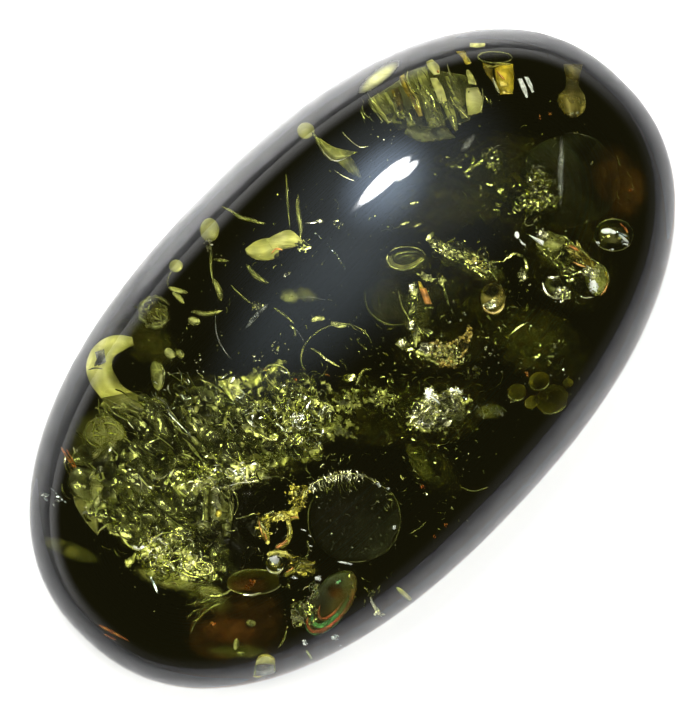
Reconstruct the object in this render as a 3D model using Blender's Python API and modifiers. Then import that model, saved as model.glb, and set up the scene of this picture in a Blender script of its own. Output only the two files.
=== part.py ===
"""An amber gemstone: one long oval cabochon with a domed top and a flat back.

The long axis lies along X, the short axis along Y, and the flat back rests on Z = 0.
The origin is under the middle of the stone. Metres, +Z up.
"""

import math

import bmesh
import bpy
from mathutils import Vector

# Driving dimensions
LENGTH = 0.0320
WIDTH = 0.0183
GIRTH_HEIGHT = 0.0019  # height of the widest line above the flat back
DOME_RISE = 0.0051  # from the widest line to the crown
OUTLINE_POWER = 2.28  # the outline is a little fuller than an ellipse, for which this is 2

# The rounded side under the widest line: a quarter ellipse that the flat back cuts off
UNDERSIDE_RUN = 0.0016
UNDERSIDE_DROP = 0.0022
BACK_EDGE_ROUND = 0.0002
BACK_EDGE_STEPS = 2

# How finely the faceted solid follows the smooth form
SEGMENTS = 72
RINGS = 36
SHARP_ANGLE = math.radians(50)
MERGE_DISTANCE = 1e-6

# Amber, dark green-brown and polished
AMBER_COLOUR = (0.030, 0.032, 0.010, 1.0)
AMBER_ROUGHNESS = 0.04
AMBER_IOR = 1.54

COLLECTION = "amber_cabochon"
NODE = "amber"


def clear_scene():
    """Remove whatever the file opened with."""
    for item in list(bpy.data.objects):
        bpy.data.objects.remove(item, do_unlink=True)


def part_collection():
    """The collection that holds the stone."""
    collection = bpy.data.collections.new(COLLECTION)
    bpy.context.scene.collection.children.link(collection)
    return collection


def amber_material():
    """Dark polished amber."""
    material = bpy.data.materials.new("amber")
    material.use_nodes = True
    shader = material.node_tree.nodes["Principled BSDF"]
    shader.inputs["Base Color"].default_value = AMBER_COLOUR
    shader.inputs["Metallic"].default_value = 0.0
    shader.inputs["Roughness"].default_value = AMBER_ROUGHNESS
    shader.inputs["IOR"].default_value = AMBER_IOR
    return material


def signed_power(value, power):
    """The size of value raised to power, with the sign of value."""
    return math.copysign(abs(value) ** power, value)


def outline_point(turn):
    """The point of the widest line at an angle round the stone."""
    return Vector((
        LENGTH / 2 * signed_power(math.cos(turn), 2 / OUTLINE_POWER),
        WIDTH / 2 * signed_power(math.sin(turn), 2 / OUTLINE_POWER),
        0.0,
    ))


def outline_normal(point):
    """The direction straight out of the widest line at one of its points."""
    along_x = signed_power(point.x / (LENGTH / 2), OUTLINE_POWER - 1) / (LENGTH / 2)
    along_y = signed_power(point.y / (WIDTH / 2), OUTLINE_POWER - 1) / (WIDTH / 2)
    return Vector((along_x, along_y, 0.0)).normalized()


def dome_point(turn, rise):
    """A point of the dome, whose section is half an ellipse. Rise runs from 0 at the girth to 1 at the crown."""
    point = outline_point(turn) * math.sqrt(max(1 - rise ** 2, 0.0))
    point.z = GIRTH_HEIGHT + DOME_RISE * rise
    return point


def underside_point(turn, drop):
    """A point of the rounded side below the girth, which draws in by the same amount all round."""
    edge = outline_point(turn)
    run_in = UNDERSIDE_RUN * (1 - math.sqrt(max(1 - drop ** 2, 0.0)))
    point = edge - outline_normal(edge) * run_in
    point.z = GIRTH_HEIGHT - UNDERSIDE_DROP * drop
    return point


def shape_stone(mesh):
    """Turn a unit sphere into the stone by moving its points."""
    for vertex in mesh.verts:
        turn = math.atan2(vertex.co.y, vertex.co.x)
        height = vertex.co.z
        vertex.co = dome_point(turn, height) if height >= 0 else underside_point(turn, -height)


def cut_flat_back(mesh):
    """Cut the stone off at Z = 0 and close the cut with one flat face."""
    cut = bmesh.ops.bisect_plane(
        mesh,
        geom=mesh.verts[:] + mesh.edges[:] + mesh.faces[:],
        dist=MERGE_DISTANCE,
        plane_co=(0.0, 0.0, 0.0),
        plane_no=(0.0, 0.0, -1.0),
        clear_outer=True,
    )
    rim = [item for item in cut["geom_cut"] if isinstance(item, bmesh.types.BMEdge)]
    bmesh.ops.contextual_create(mesh, geom=rim)


def make_stone(collection):
    """The whole stone as one closed body."""
    mesh = bmesh.new()
    bmesh.ops.create_uvsphere(mesh, u_segments=SEGMENTS, v_segments=RINGS, radius=1.0)
    shape_stone(mesh)
    cut_flat_back(mesh)
    bmesh.ops.recalc_face_normals(mesh, faces=mesh.faces[:])

    data = bpy.data.meshes.new(NODE)
    mesh.to_mesh(data)
    mesh.free()
    data.shade_smooth()
    data.set_sharp_from_angle(angle=SHARP_ANGLE)
    data.materials.append(amber_material())

    stone = bpy.data.objects.new(NODE, data)
    collection.objects.link(stone)
    round_back_edge(stone)
    return stone


def round_back_edge(stone):
    """Break the edge where the side meets the flat back."""
    bevel = stone.modifiers.new("back_edge", "BEVEL")
    bevel.width = BACK_EDGE_ROUND
    bevel.segments = BACK_EDGE_STEPS
    bevel.limit_method = "ANGLE"
    bevel.angle_limit = math.radians(35)


def main():
    clear_scene()
    make_stone(part_collection())


main()
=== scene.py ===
import math

import bmesh
import bpy
import numpy as np
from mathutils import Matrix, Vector


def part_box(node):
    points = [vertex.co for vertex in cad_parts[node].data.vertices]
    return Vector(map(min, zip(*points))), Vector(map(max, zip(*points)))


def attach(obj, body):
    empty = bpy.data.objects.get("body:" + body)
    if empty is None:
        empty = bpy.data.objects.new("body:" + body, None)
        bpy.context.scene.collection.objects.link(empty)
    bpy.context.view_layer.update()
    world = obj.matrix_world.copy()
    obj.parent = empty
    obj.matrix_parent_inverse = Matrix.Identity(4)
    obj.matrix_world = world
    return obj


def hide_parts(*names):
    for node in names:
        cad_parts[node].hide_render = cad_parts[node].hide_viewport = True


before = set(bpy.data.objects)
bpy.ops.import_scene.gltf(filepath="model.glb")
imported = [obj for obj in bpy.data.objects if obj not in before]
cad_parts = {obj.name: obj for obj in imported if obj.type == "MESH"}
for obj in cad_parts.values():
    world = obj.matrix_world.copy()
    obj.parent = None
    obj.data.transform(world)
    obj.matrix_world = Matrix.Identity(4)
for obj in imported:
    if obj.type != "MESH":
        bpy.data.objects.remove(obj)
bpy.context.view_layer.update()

MM = 0.001

# The stone, sized from its CAD solid
STONE_LOW, STONE_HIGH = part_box("amber")
HALF_LENGTH = (STONE_HIGH[0] - STONE_LOW[0]) / 2
HALF_WIDTH = (STONE_HIGH[1] - STONE_LOW[1]) / 2
HEIGHT = STONE_HIGH[2] - STONE_LOW[2]
GIRTH_HEIGHT = 1.9 * MM
DOME_RISE = HEIGHT - GIRTH_HEIGHT
OUTLINE_POWER = 2.28
UNDERSIDE_RUN = 1.6 * MM
UNDERSIDE_DROP = 2.2 * MM
BACK_EDGE_ROUND = 0.2 * MM
BACK_BARE_RIM = 0.9 * MM  # the dark finish of the back stops this far from its edge
STONE_SEGMENTS = 256
STONE_RINGS = 176
AMBER_IOR = 1.54

# The photograph's frame, and where the stone lies in it, in pixels
PHOTO_WIDTH = 700
PHOTO_HEIGHT = 721
STONE_MIDDLE = (352.4, 358.3)
STONE_TURN = math.radians(46.4)
PIXELS_PER_MM = 24.2
LEAST_DEPTH = 4.0  # in pixels, so that nothing breaks the polish
LEAST_HEIGHT = 0.15 * MM  # over the back
MERGE_DISTANCE = 1e-8
RIM_REACH = 0.985  # nothing is drawn further out than this share of the stone's outline
SLOPE_STEP = 0.002 * MM
SURFACE_SEARCH_STEPS = 30

# The camera looks straight down on the stone
SENSOR = 36.0
LENS = 180.0
CAMERA_REACH = (PHOTO_HEIGHT / PIXELS_PER_MM) * MM * LENS / SENSOR
CAMERA_RIGHT = np.array((math.cos(STONE_TURN), -math.sin(STONE_TURN), 0.0))
CAMERA_UP = np.array((math.sin(STONE_TURN), math.cos(STONE_TURN), 0.0))
PIXEL_STEP = SENSOR / LENS / PHOTO_HEIGHT


def camera_place():
    """Straight over the stone, moved so that the stone's middle falls on its pixel."""
    across = (PHOTO_WIDTH / 2 - STONE_MIDDLE[0]) / PIXELS_PER_MM * MM
    up = (STONE_MIDDLE[1] - PHOTO_HEIGHT / 2) / PIXELS_PER_MM * MM
    place = CAMERA_RIGHT * across + CAMERA_UP * up
    place[2] = GIRTH_HEIGHT + CAMERA_REACH
    return place


def make_camera():
    data = bpy.data.cameras.new("camera")
    data.lens = LENS
    data.sensor_width = SENSOR
    data.clip_start = 1 * MM
    data.clip_end = 20.0
    camera = bpy.data.objects.new("camera", data)
    camera.location = camera_place()
    camera.rotation_euler = (0.0, 0.0, -STONE_TURN)
    bpy.context.scene.collection.objects.link(camera)
    bpy.context.scene.camera = camera


def outline_reach(x, y):
    """How far out points of the plan lie: 0 at the middle and 1 on the outline."""
    along = np.abs(x / HALF_LENGTH) ** OUTLINE_POWER
    across = np.abs(y / HALF_WIDTH) ** OUTLINE_POWER
    return (along + across) ** (1 / OUTLINE_POWER)


def dome_height(x, y):
    """The dome's surface over points of the plan."""
    return GIRTH_HEIGHT + DOME_RISE * np.sqrt(np.clip(1 - outline_reach(x, y) ** 2, 0, 1))


def dome_normal(x, y):
    """The outward normal of the dome over points of the plan, from small steps."""
    slope_x = (dome_height(x + SLOPE_STEP, y) - dome_height(x - SLOPE_STEP, y)) / (2 * SLOPE_STEP)
    slope_y = (dome_height(x, y + SLOPE_STEP) - dome_height(x, y - SLOPE_STEP)) / (2 * SLOPE_STEP)
    normal = np.stack([-slope_x, -slope_y, np.ones_like(slope_x)], axis=-1)
    return normal / np.linalg.norm(normal, axis=-1, keepdims=True)


def inside(columns, rows, depth):
    """The points in the stone that show at these pixels of the photograph.

    The depth is in millimetres along the ray, which bends where it enters the dome.
    """
    columns, rows, depth = (np.asarray(a, dtype=float) for a in (columns, rows, depth))
    start = camera_place()
    ray = (
        (columns - PHOTO_WIDTH / 2)[..., None] * PIXEL_STEP * CAMERA_RIGHT
        + (PHOTO_HEIGHT / 2 - rows)[..., None] * PIXEL_STEP * CAMERA_UP
        + np.array((0.0, 0.0, -1.0))
    )
    low = np.full(columns.shape, GIRTH_HEIGHT)
    high = np.full(columns.shape, HEIGHT)
    for _ in range(SURFACE_SEARCH_STEPS):
        middle = (low + high) / 2
        hit = start + ray * (start[2] - middle)[..., None]
        above = middle > dome_height(hit[..., 0], hit[..., 1])
        high = np.where(above, middle, high)
        low = np.where(above, low, middle)
    hit = start + ray * (start[2] - low)[..., None]
    way = ray / np.linalg.norm(ray, axis=-1, keepdims=True)
    normal = dome_normal(hit[..., 0], hit[..., 1])
    facing = -(way * normal).sum(-1, keepdims=True)
    bent = way / AMBER_IOR + normal * (facing / AMBER_IOR - np.sqrt(1 - (1 - facing ** 2) / AMBER_IOR ** 2))
    return hit + bent * (depth * MM)[..., None]


def keep_within(drawn):
    """Drawn points, with any that lie past the stone's rim drawn in to it."""
    across = drawn[:, 0] - STONE_MIDDLE[0]
    up = STONE_MIDDLE[1] - drawn[:, 1]
    x = (across * math.cos(STONE_TURN) + up * math.sin(STONE_TURN)) / PIXELS_PER_MM * MM
    y = (up * math.cos(STONE_TURN) - across * math.sin(STONE_TURN)) / PIXELS_PER_MM * MM
    scale = np.minimum(1.0, RIM_REACH / np.maximum(outline_reach(x, y), 1e-6))
    return np.stack([
        STONE_MIDDLE[0] + across * scale,
        STONE_MIDDLE[1] - up * scale,
        drawn[:, 2],
    ], axis=-1)


def signed_power(value, power):
    return math.copysign(abs(value) ** power, value)


def outline_point(turn):
    return Vector((
        HALF_LENGTH * signed_power(math.cos(turn), 2 / OUTLINE_POWER),
        HALF_WIDTH * signed_power(math.sin(turn), 2 / OUTLINE_POWER),
        0.0,
    ))


def outline_normal(point):
    along_x = signed_power(point.x / HALF_LENGTH, OUTLINE_POWER - 1) / HALF_LENGTH
    along_y = signed_power(point.y / HALF_WIDTH, OUTLINE_POWER - 1) / HALF_WIDTH
    return Vector((along_x, along_y, 0.0)).normalized()


def stone_point(turn, height):
    """The stone's surface: height runs from -1 below through 0 at the girth to 1 at the crown."""
    edge = outline_point(turn)
    if height >= 0:
        point = edge * math.sqrt(max(1 - height ** 2, 0.0))
        point.z = GIRTH_HEIGHT + DOME_RISE * height
        return point
    point = edge - outline_normal(edge) * UNDERSIDE_RUN * (1 - math.sqrt(max(1 - height ** 2, 0.0)))
    point.z = GIRTH_HEIGHT + UNDERSIDE_DROP * height
    return point


def new_nodes(name):
    material = bpy.data.materials.new(name)
    material.use_nodes = True
    return material, material.node_tree, material.node_tree.nodes["Principled BSDF"]


def worked_out(tree, kind, operation, *values):
    """A node of maths with this operation. Each value is another node's output or a plain one."""
    node = tree.nodes.new(kind)
    node.operation = operation
    for socket, value in zip(node.inputs, values):
        if isinstance(value, bpy.types.NodeSocket):
            tree.links.new(value, socket)
        else:
            socket.default_value = value
    return node


def number(tree, operation, *values):
    return worked_out(tree, "ShaderNodeMath", operation, *values).outputs["Value"]


def vector(tree, operation, *values):
    return worked_out(tree, "ShaderNodeVectorMath", operation, *values).outputs["Vector"]


def measure(tree, operation, *values):
    """A number got from vectors, such as a length or a distance."""
    return worked_out(tree, "ShaderNodeVectorMath", operation, *values).outputs["Value"]


def fade_between(tree, source, first, last, start, end, curve="SMOOTHSTEP"):
    """A fall or rise from one value to another while the source runs from first to last."""
    fall = tree.nodes.new("ShaderNodeMapRange")
    fall.interpolation_type = curve
    fall.inputs["From Min"].default_value = first
    fall.inputs["From Max"].default_value = last
    fall.inputs["To Min"].default_value = start
    fall.inputs["To Max"].default_value = end
    tree.links.new(source, fall.inputs["Value"])
    return fall.outputs["Result"]


def stone_place(tree):
    """Where a point lies, in the piece's own metres."""
    return tree.nodes.new("ShaderNodeTexCoord").outputs["Object"]


def parts_of(tree, source):
    split = tree.nodes.new("ShaderNodeSeparateXYZ")
    tree.links.new(source, split.inputs["Vector"])
    return split.outputs


AMBER_TINT = (0.64, 0.66, 0.05, 1.0)
AMBER_TINT_DENSITY = 300.0  # per metre


def amber_material():
    material, tree, shader = new_nodes("amber_clear")
    shader.inputs["Base Color"].default_value = (1.0, 1.0, 1.0, 1.0)
    shader.inputs["Transmission Weight"].default_value = 1.0
    shader.inputs["Roughness"].default_value = 0.0
    shader.inputs["IOR"].default_value = AMBER_IOR
    tint = tree.nodes.new("ShaderNodeVolumeAbsorption")
    tint.inputs["Color"].default_value = AMBER_TINT
    tint.inputs["Density"].default_value = AMBER_TINT_DENSITY
    tree.links.new(tint.outputs["Volume"], tree.nodes["Material Output"].inputs["Volume"])
    return material


BACK_CLOUDINESS = 0.5
BACK_GRAIN = 260.0
BACK_DETAIL = 5.0
BACK_STOPS = (
    (0.30, (0.12, 0.13, 0.035)),
    (0.75, (0.22, 0.19, 0.035)),
    (1.0, (0.42, 0.15, 0.03)),
)


def back_material():
    """Dark and cloudy, greener on one side of the stone and browner on the other."""
    material, tree, shader = new_nodes("amber_dark_back")
    place = stone_place(tree)
    side = fade_between(tree, parts_of(tree, place)["Y"], HALF_WIDTH, -HALF_WIDTH, 0.0, 1.0, "LINEAR")
    cloud = number(tree, "MULTIPLY_ADD", noise(tree, place, BACK_GRAIN, BACK_DETAIL), BACK_CLOUDINESS, side)
    colour = tree.nodes.new("ShaderNodeValToRGB")
    tree.links.new(cloud, colour.inputs["Fac"])
    stops = colour.color_ramp.elements
    stops.new(0.5)
    for index, (position, shade) in enumerate(BACK_STOPS):
        stops[index].position = position
        stops[index].color = (*shade, 1.0)
    tree.links.new(colour.outputs["Color"], shader.inputs["Base Color"])
    shader.inputs["Roughness"].default_value = 0.5
    shader.inputs["Specular IOR Level"].default_value = 0.1
    return material


def make_stone():
    mesh = bmesh.new()
    bmesh.ops.create_uvsphere(mesh, u_segments=STONE_SEGMENTS, v_segments=STONE_RINGS, radius=1.0)
    for vertex in mesh.verts:
        vertex.co = stone_point(math.atan2(vertex.co.y, vertex.co.x), vertex.co.z)
    cut = bmesh.ops.bisect_plane(
        mesh,
        geom=mesh.verts[:] + mesh.edges[:] + mesh.faces[:],
        dist=1e-7,
        plane_co=(0.0, 0.0, 0.0),
        plane_no=(0.0, 0.0, -1.0),
        clear_outer=True,
    )
    rim = [item for item in cut["geom_cut"] if isinstance(item, bmesh.types.BMEdge)]
    bmesh.ops.contextual_create(mesh, geom=rim)
    bmesh.ops.recalc_face_normals(mesh, faces=mesh.faces[:])
    bmesh.ops.bevel(
        mesh, geom=rim, offset=BACK_EDGE_ROUND, segments=3, profile=0.5, affect="EDGES", clamp_overlap=True
    )
    back = max(mesh.faces, key=lambda face: len(face.verts))
    bmesh.ops.inset_region(mesh, faces=[back], thickness=BACK_BARE_RIM)
    back.material_index = 1
    data = bpy.data.meshes.new("polished_amber")
    mesh.to_mesh(data)
    mesh.free()
    data.shade_smooth()
    data.set_sharp_from_angle(angle=math.radians(60))
    data.materials.append(amber_material())
    data.materials.append(back_material())
    stone = bpy.data.objects.new("polished_amber", data)
    bpy.context.scene.collection.objects.link(stone)
    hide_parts("amber")
    return stone


def part_piece(name, data):
    piece = bpy.data.objects.new(name, data)
    bpy.context.scene.collection.objects.link(piece)
    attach(piece, "root")
    return piece


# A white sheet with a painted pool of light: its colour is brightest round the stone and darker further out
FLOOR_BRIGHT_REACH = 16 * MM
FLOOR_DIM_REACH = 45 * MM
FLOOR_BRIGHTNESS = 0.51
FLOOR_DIMNESS = 0.255
FLOOR_HALF_SIZE = 3.0


def make_floor():
    data = bpy.data.meshes.new("floor")
    mesh = bmesh.new()
    bmesh.ops.create_grid(mesh, x_segments=1, y_segments=1, size=FLOOR_HALF_SIZE)
    mesh.to_mesh(data)
    mesh.free()
    material, tree, shader = new_nodes("floor_white")
    # painted light: the floor's colour fades from bright near the stone to dim further out
    away = measure(tree, "LENGTH", stone_place(tree))
    light = fade_between(tree, away, FLOOR_BRIGHT_REACH, FLOOR_DIM_REACH, FLOOR_BRIGHTNESS, FLOOR_DIMNESS)
    tree.links.new(light, shader.inputs["Base Color"])
    shader.inputs["Roughness"].default_value = 0.9
    shader.inputs["Specular IOR Level"].default_value = 0.0
    data.materials.append(material)
    floor = bpy.data.objects.new("floor", data)
    bpy.context.scene.collection.objects.link(floor)


def seen_by(item, camera, diffuse, glossy, transmission):
    item.visible_camera = camera
    item.visible_diffuse = diffuse
    item.visible_glossy = glossy
    item.visible_transmission = transmission
    item.visible_volume_scatter = False


def towards(lean, turn):
    """A direction leaning this far from straight up, towards this angle round from the stone's +X."""
    return Vector((
        math.sin(lean) * math.cos(turn),
        math.sin(lean) * math.sin(turn),
        math.cos(lean),
    ))


LAMP_REACH = 0.45
KEY_LEAN = math.radians(36.5)
KEY_TURN = math.radians(61.4)
ROOM_REACH = 2.0
ROOM_DIMNESS = (0.14, 0.13, 0.04, 1.0)


# The soft lamps: how far each leans from straight up, the angle that it leans towards, its size in metres
# and its radiance
SOFTBOXES = (
    ("key_softbox", 36, 65, 0.22, 18.0),
    ("side_softbox", 52, 195, 0.16, 17.0),
    ("far_softbox", 30, -60, 0.15, 19.0),
    ("left_softbox", 40, 130, 0.12, 26.0),
    ("low_softbox", 48, -15, 0.12, 26.0),
    ("top_softbox", 12, 240, 0.10, 26.0),
)


def make_softbox(name, lean, turn, size, radiance):
    """A wide soft lamp that lights the floor and the stone's inside, and leaves no glare on the polish."""
    data = bpy.data.lights.new(name, "AREA")
    data.shape = "DISK"
    data.size = size
    data.energy = radiance * math.pi * math.pi * (size / 2) ** 2
    lamp = bpy.data.objects.new(name, data)
    way = towards(lean, turn)
    lamp.location = way * LAMP_REACH
    lamp.rotation_euler = way.to_track_quat("Z", "Y").to_euler()
    seen_by(lamp, False, True, False, True)
    bpy.context.scene.collection.objects.link(lamp)


RIM_LAMP_PLACE = (13 * MM, 24 * MM, 0.30)
RIM_LAMP_POWER = 28.0
RIM_LAMP_SPREAD = math.radians(11)
RIM_LAMP_SOFTNESS = 0.01


def make_rim_lamp():
    """A spot lamp over the floor past the stone's far side: the rim mirrors its bright pool."""
    data = bpy.data.lights.new("rim_lamp", "SPOT")
    data.energy = RIM_LAMP_POWER
    data.spot_size = RIM_LAMP_SPREAD
    data.spot_blend = 1.0
    data.shadow_soft_size = RIM_LAMP_SOFTNESS
    lamp = bpy.data.objects.new("rim_lamp", data)
    lamp.location = RIM_LAMP_PLACE
    seen_by(lamp, False, True, False, False)
    bpy.context.scene.collection.objects.link(lamp)


ROOM_LIGHT = 0.65


def make_world():
    world = bpy.data.worlds.new("soft_room")
    bpy.context.scene.world = world
    world.use_nodes = True
    light = world.node_tree.nodes["Background"].inputs
    light["Color"].default_value = (1.0, 1.0, 1.0, 1.0)
    light["Strength"].default_value = ROOM_LIGHT
    world.cycles_visibility.glossy = False


def add_spot(tree, place, way, radius, edge, strength, colour, squeeze=1.0):
    """Light from one direction of the mirrored room. Squeeze draws it in along the stone's length."""
    scale = Vector((squeeze, 1.0, 1.0))
    gap = measure(tree, "DISTANCE", vector(tree, "MULTIPLY", place, scale), way.normalized() * scale)
    light = fade_between(tree, gap, radius, edge, strength, 0.0, "SMOOTHERSTEP")
    glow = tree.nodes.new("ShaderNodeEmission")
    glow.inputs["Color"].default_value = (*colour, 1.0)
    tree.links.new(light, glow.inputs["Strength"])
    return glow.outputs["Emission"]


HORIZON_TOP = 0.24
HORIZON_STRENGTH = 1.9
HORIZON_NEAR, HORIZON_FAR = -0.3, 0.6  # it grows from its least to its full share between these
HORIZON_LEAST_SHARE = 0.1


def add_horizon(tree, place):
    """The bright wall past the stone's far side, which fades upwards and to the near side."""
    axes = parts_of(tree, place)
    upwards = fade_between(tree, axes["Z"], 0.0, HORIZON_TOP, HORIZON_STRENGTH, 0.0)
    sideways = fade_between(tree, axes["Y"], HORIZON_NEAR, HORIZON_FAR, HORIZON_LEAST_SHARE, 1.0)
    glow = tree.nodes.new("ShaderNodeEmission")
    tree.links.new(number(tree, "MULTIPLY", upwards, sideways), glow.inputs["Strength"])
    return glow.outputs["Emission"]


WHITE = (1.0, 1.0, 1.0)
KEY_WAY = towards(KEY_LEAN, KEY_TURN)

# What the polish mirrors: the way to it, the radii where it starts and ends to fade, its strength and its
# colour, and how far it is drawn in along the stone's length
MIRRORED_SPOTS = {
    "hot core": (KEY_WAY, 0.040, 0.060, 60.0, WHITE, 0.62),
    "core's long edge": (KEY_WAY, 0.016, 0.046, 30.0, WHITE, 0.32),
    "lesser core": (KEY_WAY + Vector((0.045, -0.068, 0.0)), 0.018, 0.038, 40.0, WHITE, 0.8),
    "blue glow": (KEY_WAY, 0.0, 0.36, 5.5, (0.60, 0.76, 1.0), 2.2),
    "wide glow": (KEY_WAY, 0.0, 0.85, 1.1, (0.75, 0.88, 1.0), 1.8),
    "crown's glow": (towards(math.radians(20), math.radians(84)), 0.0, 0.45, 0.8, (0.70, 0.86, 1.0), 1.3),
}


def make_mirrored_room():
    """What the polish mirrors: a dim room, the lamp's hot core, a lesser one beside it and a blue glow."""
    data = bpy.data.meshes.new("mirrored_room")
    mesh = bmesh.new()
    bmesh.ops.create_icosphere(mesh, subdivisions=4, radius=ROOM_REACH)
    mesh.to_mesh(data)
    mesh.free()
    material = bpy.data.materials.new("mirrored_room")
    material.use_nodes = True
    tree = material.node_tree
    tree.nodes.clear()
    place = vector(tree, "NORMALIZE", stone_place(tree))
    room = tree.nodes.new("ShaderNodeEmission")
    room.inputs["Color"].default_value = ROOM_DIMNESS
    total = room.outputs["Emission"]
    spots = [add_spot(tree, place, *spot) for spot in MIRRORED_SPOTS.values()]
    for spot in (*spots, add_horizon(tree, place)):
        more = tree.nodes.new("ShaderNodeAddShader")
        tree.links.new(total, more.inputs[0])
        tree.links.new(spot, more.inputs[1])
        total = more.outputs[0]
    out = tree.nodes.new("ShaderNodeOutputMaterial")
    tree.links.new(total, out.inputs["Surface"])
    data.materials.append(material)
    room = bpy.data.objects.new("mirrored_room", data)
    seen_by(room, False, False, True, False)
    room.visible_shadow = False
    bpy.context.scene.collection.objects.link(room)


# Shapes in the stone are drawn over the photograph: column and row in pixels, and depth in pixels under the
# dome. inside() then bends each point into its place, so that a shape shows where it was drawn.


def turned(middle, turn, u, v):
    """Points of the photograph at u along and v across a line through the middle.

    The line is turned counter-clockwise by this many degrees.
    """
    side = math.radians(-turn)
    return np.stack([
        middle[0] + u * math.cos(side) - v * math.sin(side),
        middle[1] + u * math.sin(side) + v * math.cos(side),
    ], axis=-1)


def raised(plan, level):
    """Points of the photograph, each with its depth."""
    return np.concatenate([plan, level[..., None]], axis=-1)


WAVE_COUNT = 7


def waves(rng, wavelength):
    """A smooth random field over the plan, about -1 to 1, from a few sine waves."""
    turns = rng.uniform(0, 2 * math.pi, WAVE_COUNT)
    rates = 2 * math.pi / (wavelength * rng.uniform(0.6, 1.6, WAVE_COUNT))
    starts = rng.uniform(0, 2 * math.pi, WAVE_COUNT)

    def field(x, y):
        total = 0.0
        for turn, rate, start in zip(turns, rates, starts):
            total = total + np.sin((x * math.cos(turn) + y * math.sin(turn)) * rate + start)
        return total / math.sqrt(WAVE_COUNT)

    return field


def folds(rng, wavelengths, slope):
    """The relief of crumpled foil: flat facets between sharp creases that run many ways."""
    parts = []
    for wavelength in wavelengths:
        for _ in range(2):
            turn = rng.uniform(0, math.pi)
            here = wavelength * rng.uniform(0.8, 1.3)
            parts.append((here, math.cos(turn), math.sin(turn), rng.uniform(0, 2)))

    def field(x, y):
        total = 0.0
        for wavelength, along, across, start in parts:
            phase = (x * along + y * across) / (wavelength / 2) + start
            total = total + slope * wavelength / 2 * np.abs(phase % 2 - 1)
        return total / math.sqrt(len(parts))

    return field


class Cluster:
    """Gathers shapes of one material, drawn over the photograph, into one piece."""

    def __init__(self, name, material, smooth=False, light=None):
        self.name = name
        self.material = material
        self.smooth = smooth
        self.light = light
        self.shades = []
        self.points = []
        self.quads = []
        self.triangles = []
        self.total = 0

    def add(self, points, quads=(), triangles=(), shade=1.0):
        """Adds a shape. Shade dims its colour, as one number or one for each point."""
        points = np.asarray(points, dtype=float).reshape(-1, 3)
        self.shades.append(np.broadcast_to(np.asarray(shade, dtype=float).ravel(), (len(points),)))
        if len(quads):
            self.quads.append(np.asarray(quads, dtype=int) + self.total)
        if len(triangles):
            self.triangles.append(np.asarray(triangles, dtype=int) + self.total)
        self.points.append(points)
        self.total += len(points)

    def make(self):
        drawn = keep_within(np.concatenate(self.points))
        shade = np.concatenate(self.shades)
        # the region's painted light field brightens and darkens the colour here
        if self.light:
            shade = shade * self.light(drawn[:, 0], drawn[:, 1])
        depth = np.maximum(drawn[:, 2], LEAST_DEPTH) / PIXELS_PER_MM
        places = inside(drawn[:, 0], drawn[:, 1], depth)
        places[:, 2] = np.maximum(places[:, 2], LEAST_HEIGHT)
        faces = []
        for group in (self.quads, self.triangles):
            if group:
                faces += np.concatenate(group).tolist()
        data = bpy.data.meshes.new(self.name)
        data.from_pydata(places.tolist(), [], faces)
        data.attributes.new("shade", "FLOAT", "POINT").data.foreach_set("value", shade)
        data.validate()
        if self.smooth:
            data.shade_smooth()
        data.materials.append(self.material)
        face_outwards(data)
        return part_piece(self.name, data)


def face_outwards(data):
    mesh = bmesh.new()
    mesh.from_mesh(data)
    bmesh.ops.remove_doubles(mesh, verts=mesh.verts[:], dist=MERGE_DISTANCE)
    bmesh.ops.recalc_face_normals(mesh, faces=mesh.faces[:])
    mesh.to_mesh(data)
    mesh.free()


BLADE_SECTIONS = 4


def blade_faces():
    """The faces of one blade: a pointed sliver with a ridge above and below."""
    quads = []
    triangles = []
    last_tip = 1 + 4 * BLADE_SECTIONS
    for side in range(4):
        near, far = side, (side + 1) % 4
        triangles.append((0, 1 + near, 1 + far))
        for section in range(BLADE_SECTIONS - 1):
            start = 1 + 4 * section
            quads.append((start + near, start + far, start + 4 + far, start + 4 + near))
        start = 1 + 4 * (BLADE_SECTIONS - 1)
        triangles.append((start + near, start + far, last_tip))
    return np.array(quads), np.array(triangles)


def add_blades(cluster, rng, places, depth, length, width, turn, pitch, roll, bend, curl, ridge):
    """Many slivers at once. Lengths are half lengths in pixels, pitch and roll are slopes."""
    count = len(places)
    steps = np.linspace(-1, 1, BLADE_SECTIONS + 2)
    along = np.stack([np.cos(turn), np.sin(turn)], axis=-1)
    across = np.stack([-np.sin(turn), np.cos(turn)], axis=-1)
    rows = []
    for index, step in enumerate(steps):
        spine = places + along * (length * step)[:, None] + across * (bend * length * step ** 2)[:, None]
        level = depth + pitch * length * step + curl * length * step ** 2
        if index in (0, BLADE_SECTIONS + 1):
            rows.append(np.concatenate([spine, level[:, None]], axis=1)[:, None])
            continue
        reach = width * (1 - step ** 2) ** 0.5 * rng.uniform(0.6, 1.15, count)
        left = np.concatenate([spine + across * reach[:, None], (level + roll * reach)[:, None]], axis=1)
        right = np.concatenate([spine - across * reach[:, None], (level - roll * reach)[:, None]], axis=1)
        offset = across * (reach * rng.uniform(-0.4, 0.4, count))[:, None]
        top = np.concatenate([spine + offset, (level - ridge * reach)[:, None]], axis=1)
        bottom = np.concatenate([spine + offset, (level + ridge * reach)[:, None]], axis=1)
        rows.append(np.stack([left, top, right, bottom], axis=1))
    points = np.concatenate(rows, axis=1)
    size = points.shape[1]
    quads, triangles = blade_faces()
    starts = (np.arange(count) * size)[:, None, None]
    shade = np.repeat(rng.uniform(0.15, 1.0, count), size)
    quads = (quads[None] + starts).reshape(-1, 4)
    triangles = (triangles[None] + starts).reshape(-1, 3)
    cluster.add(points.reshape(-1, 3), quads, triangles, shade)


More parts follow.
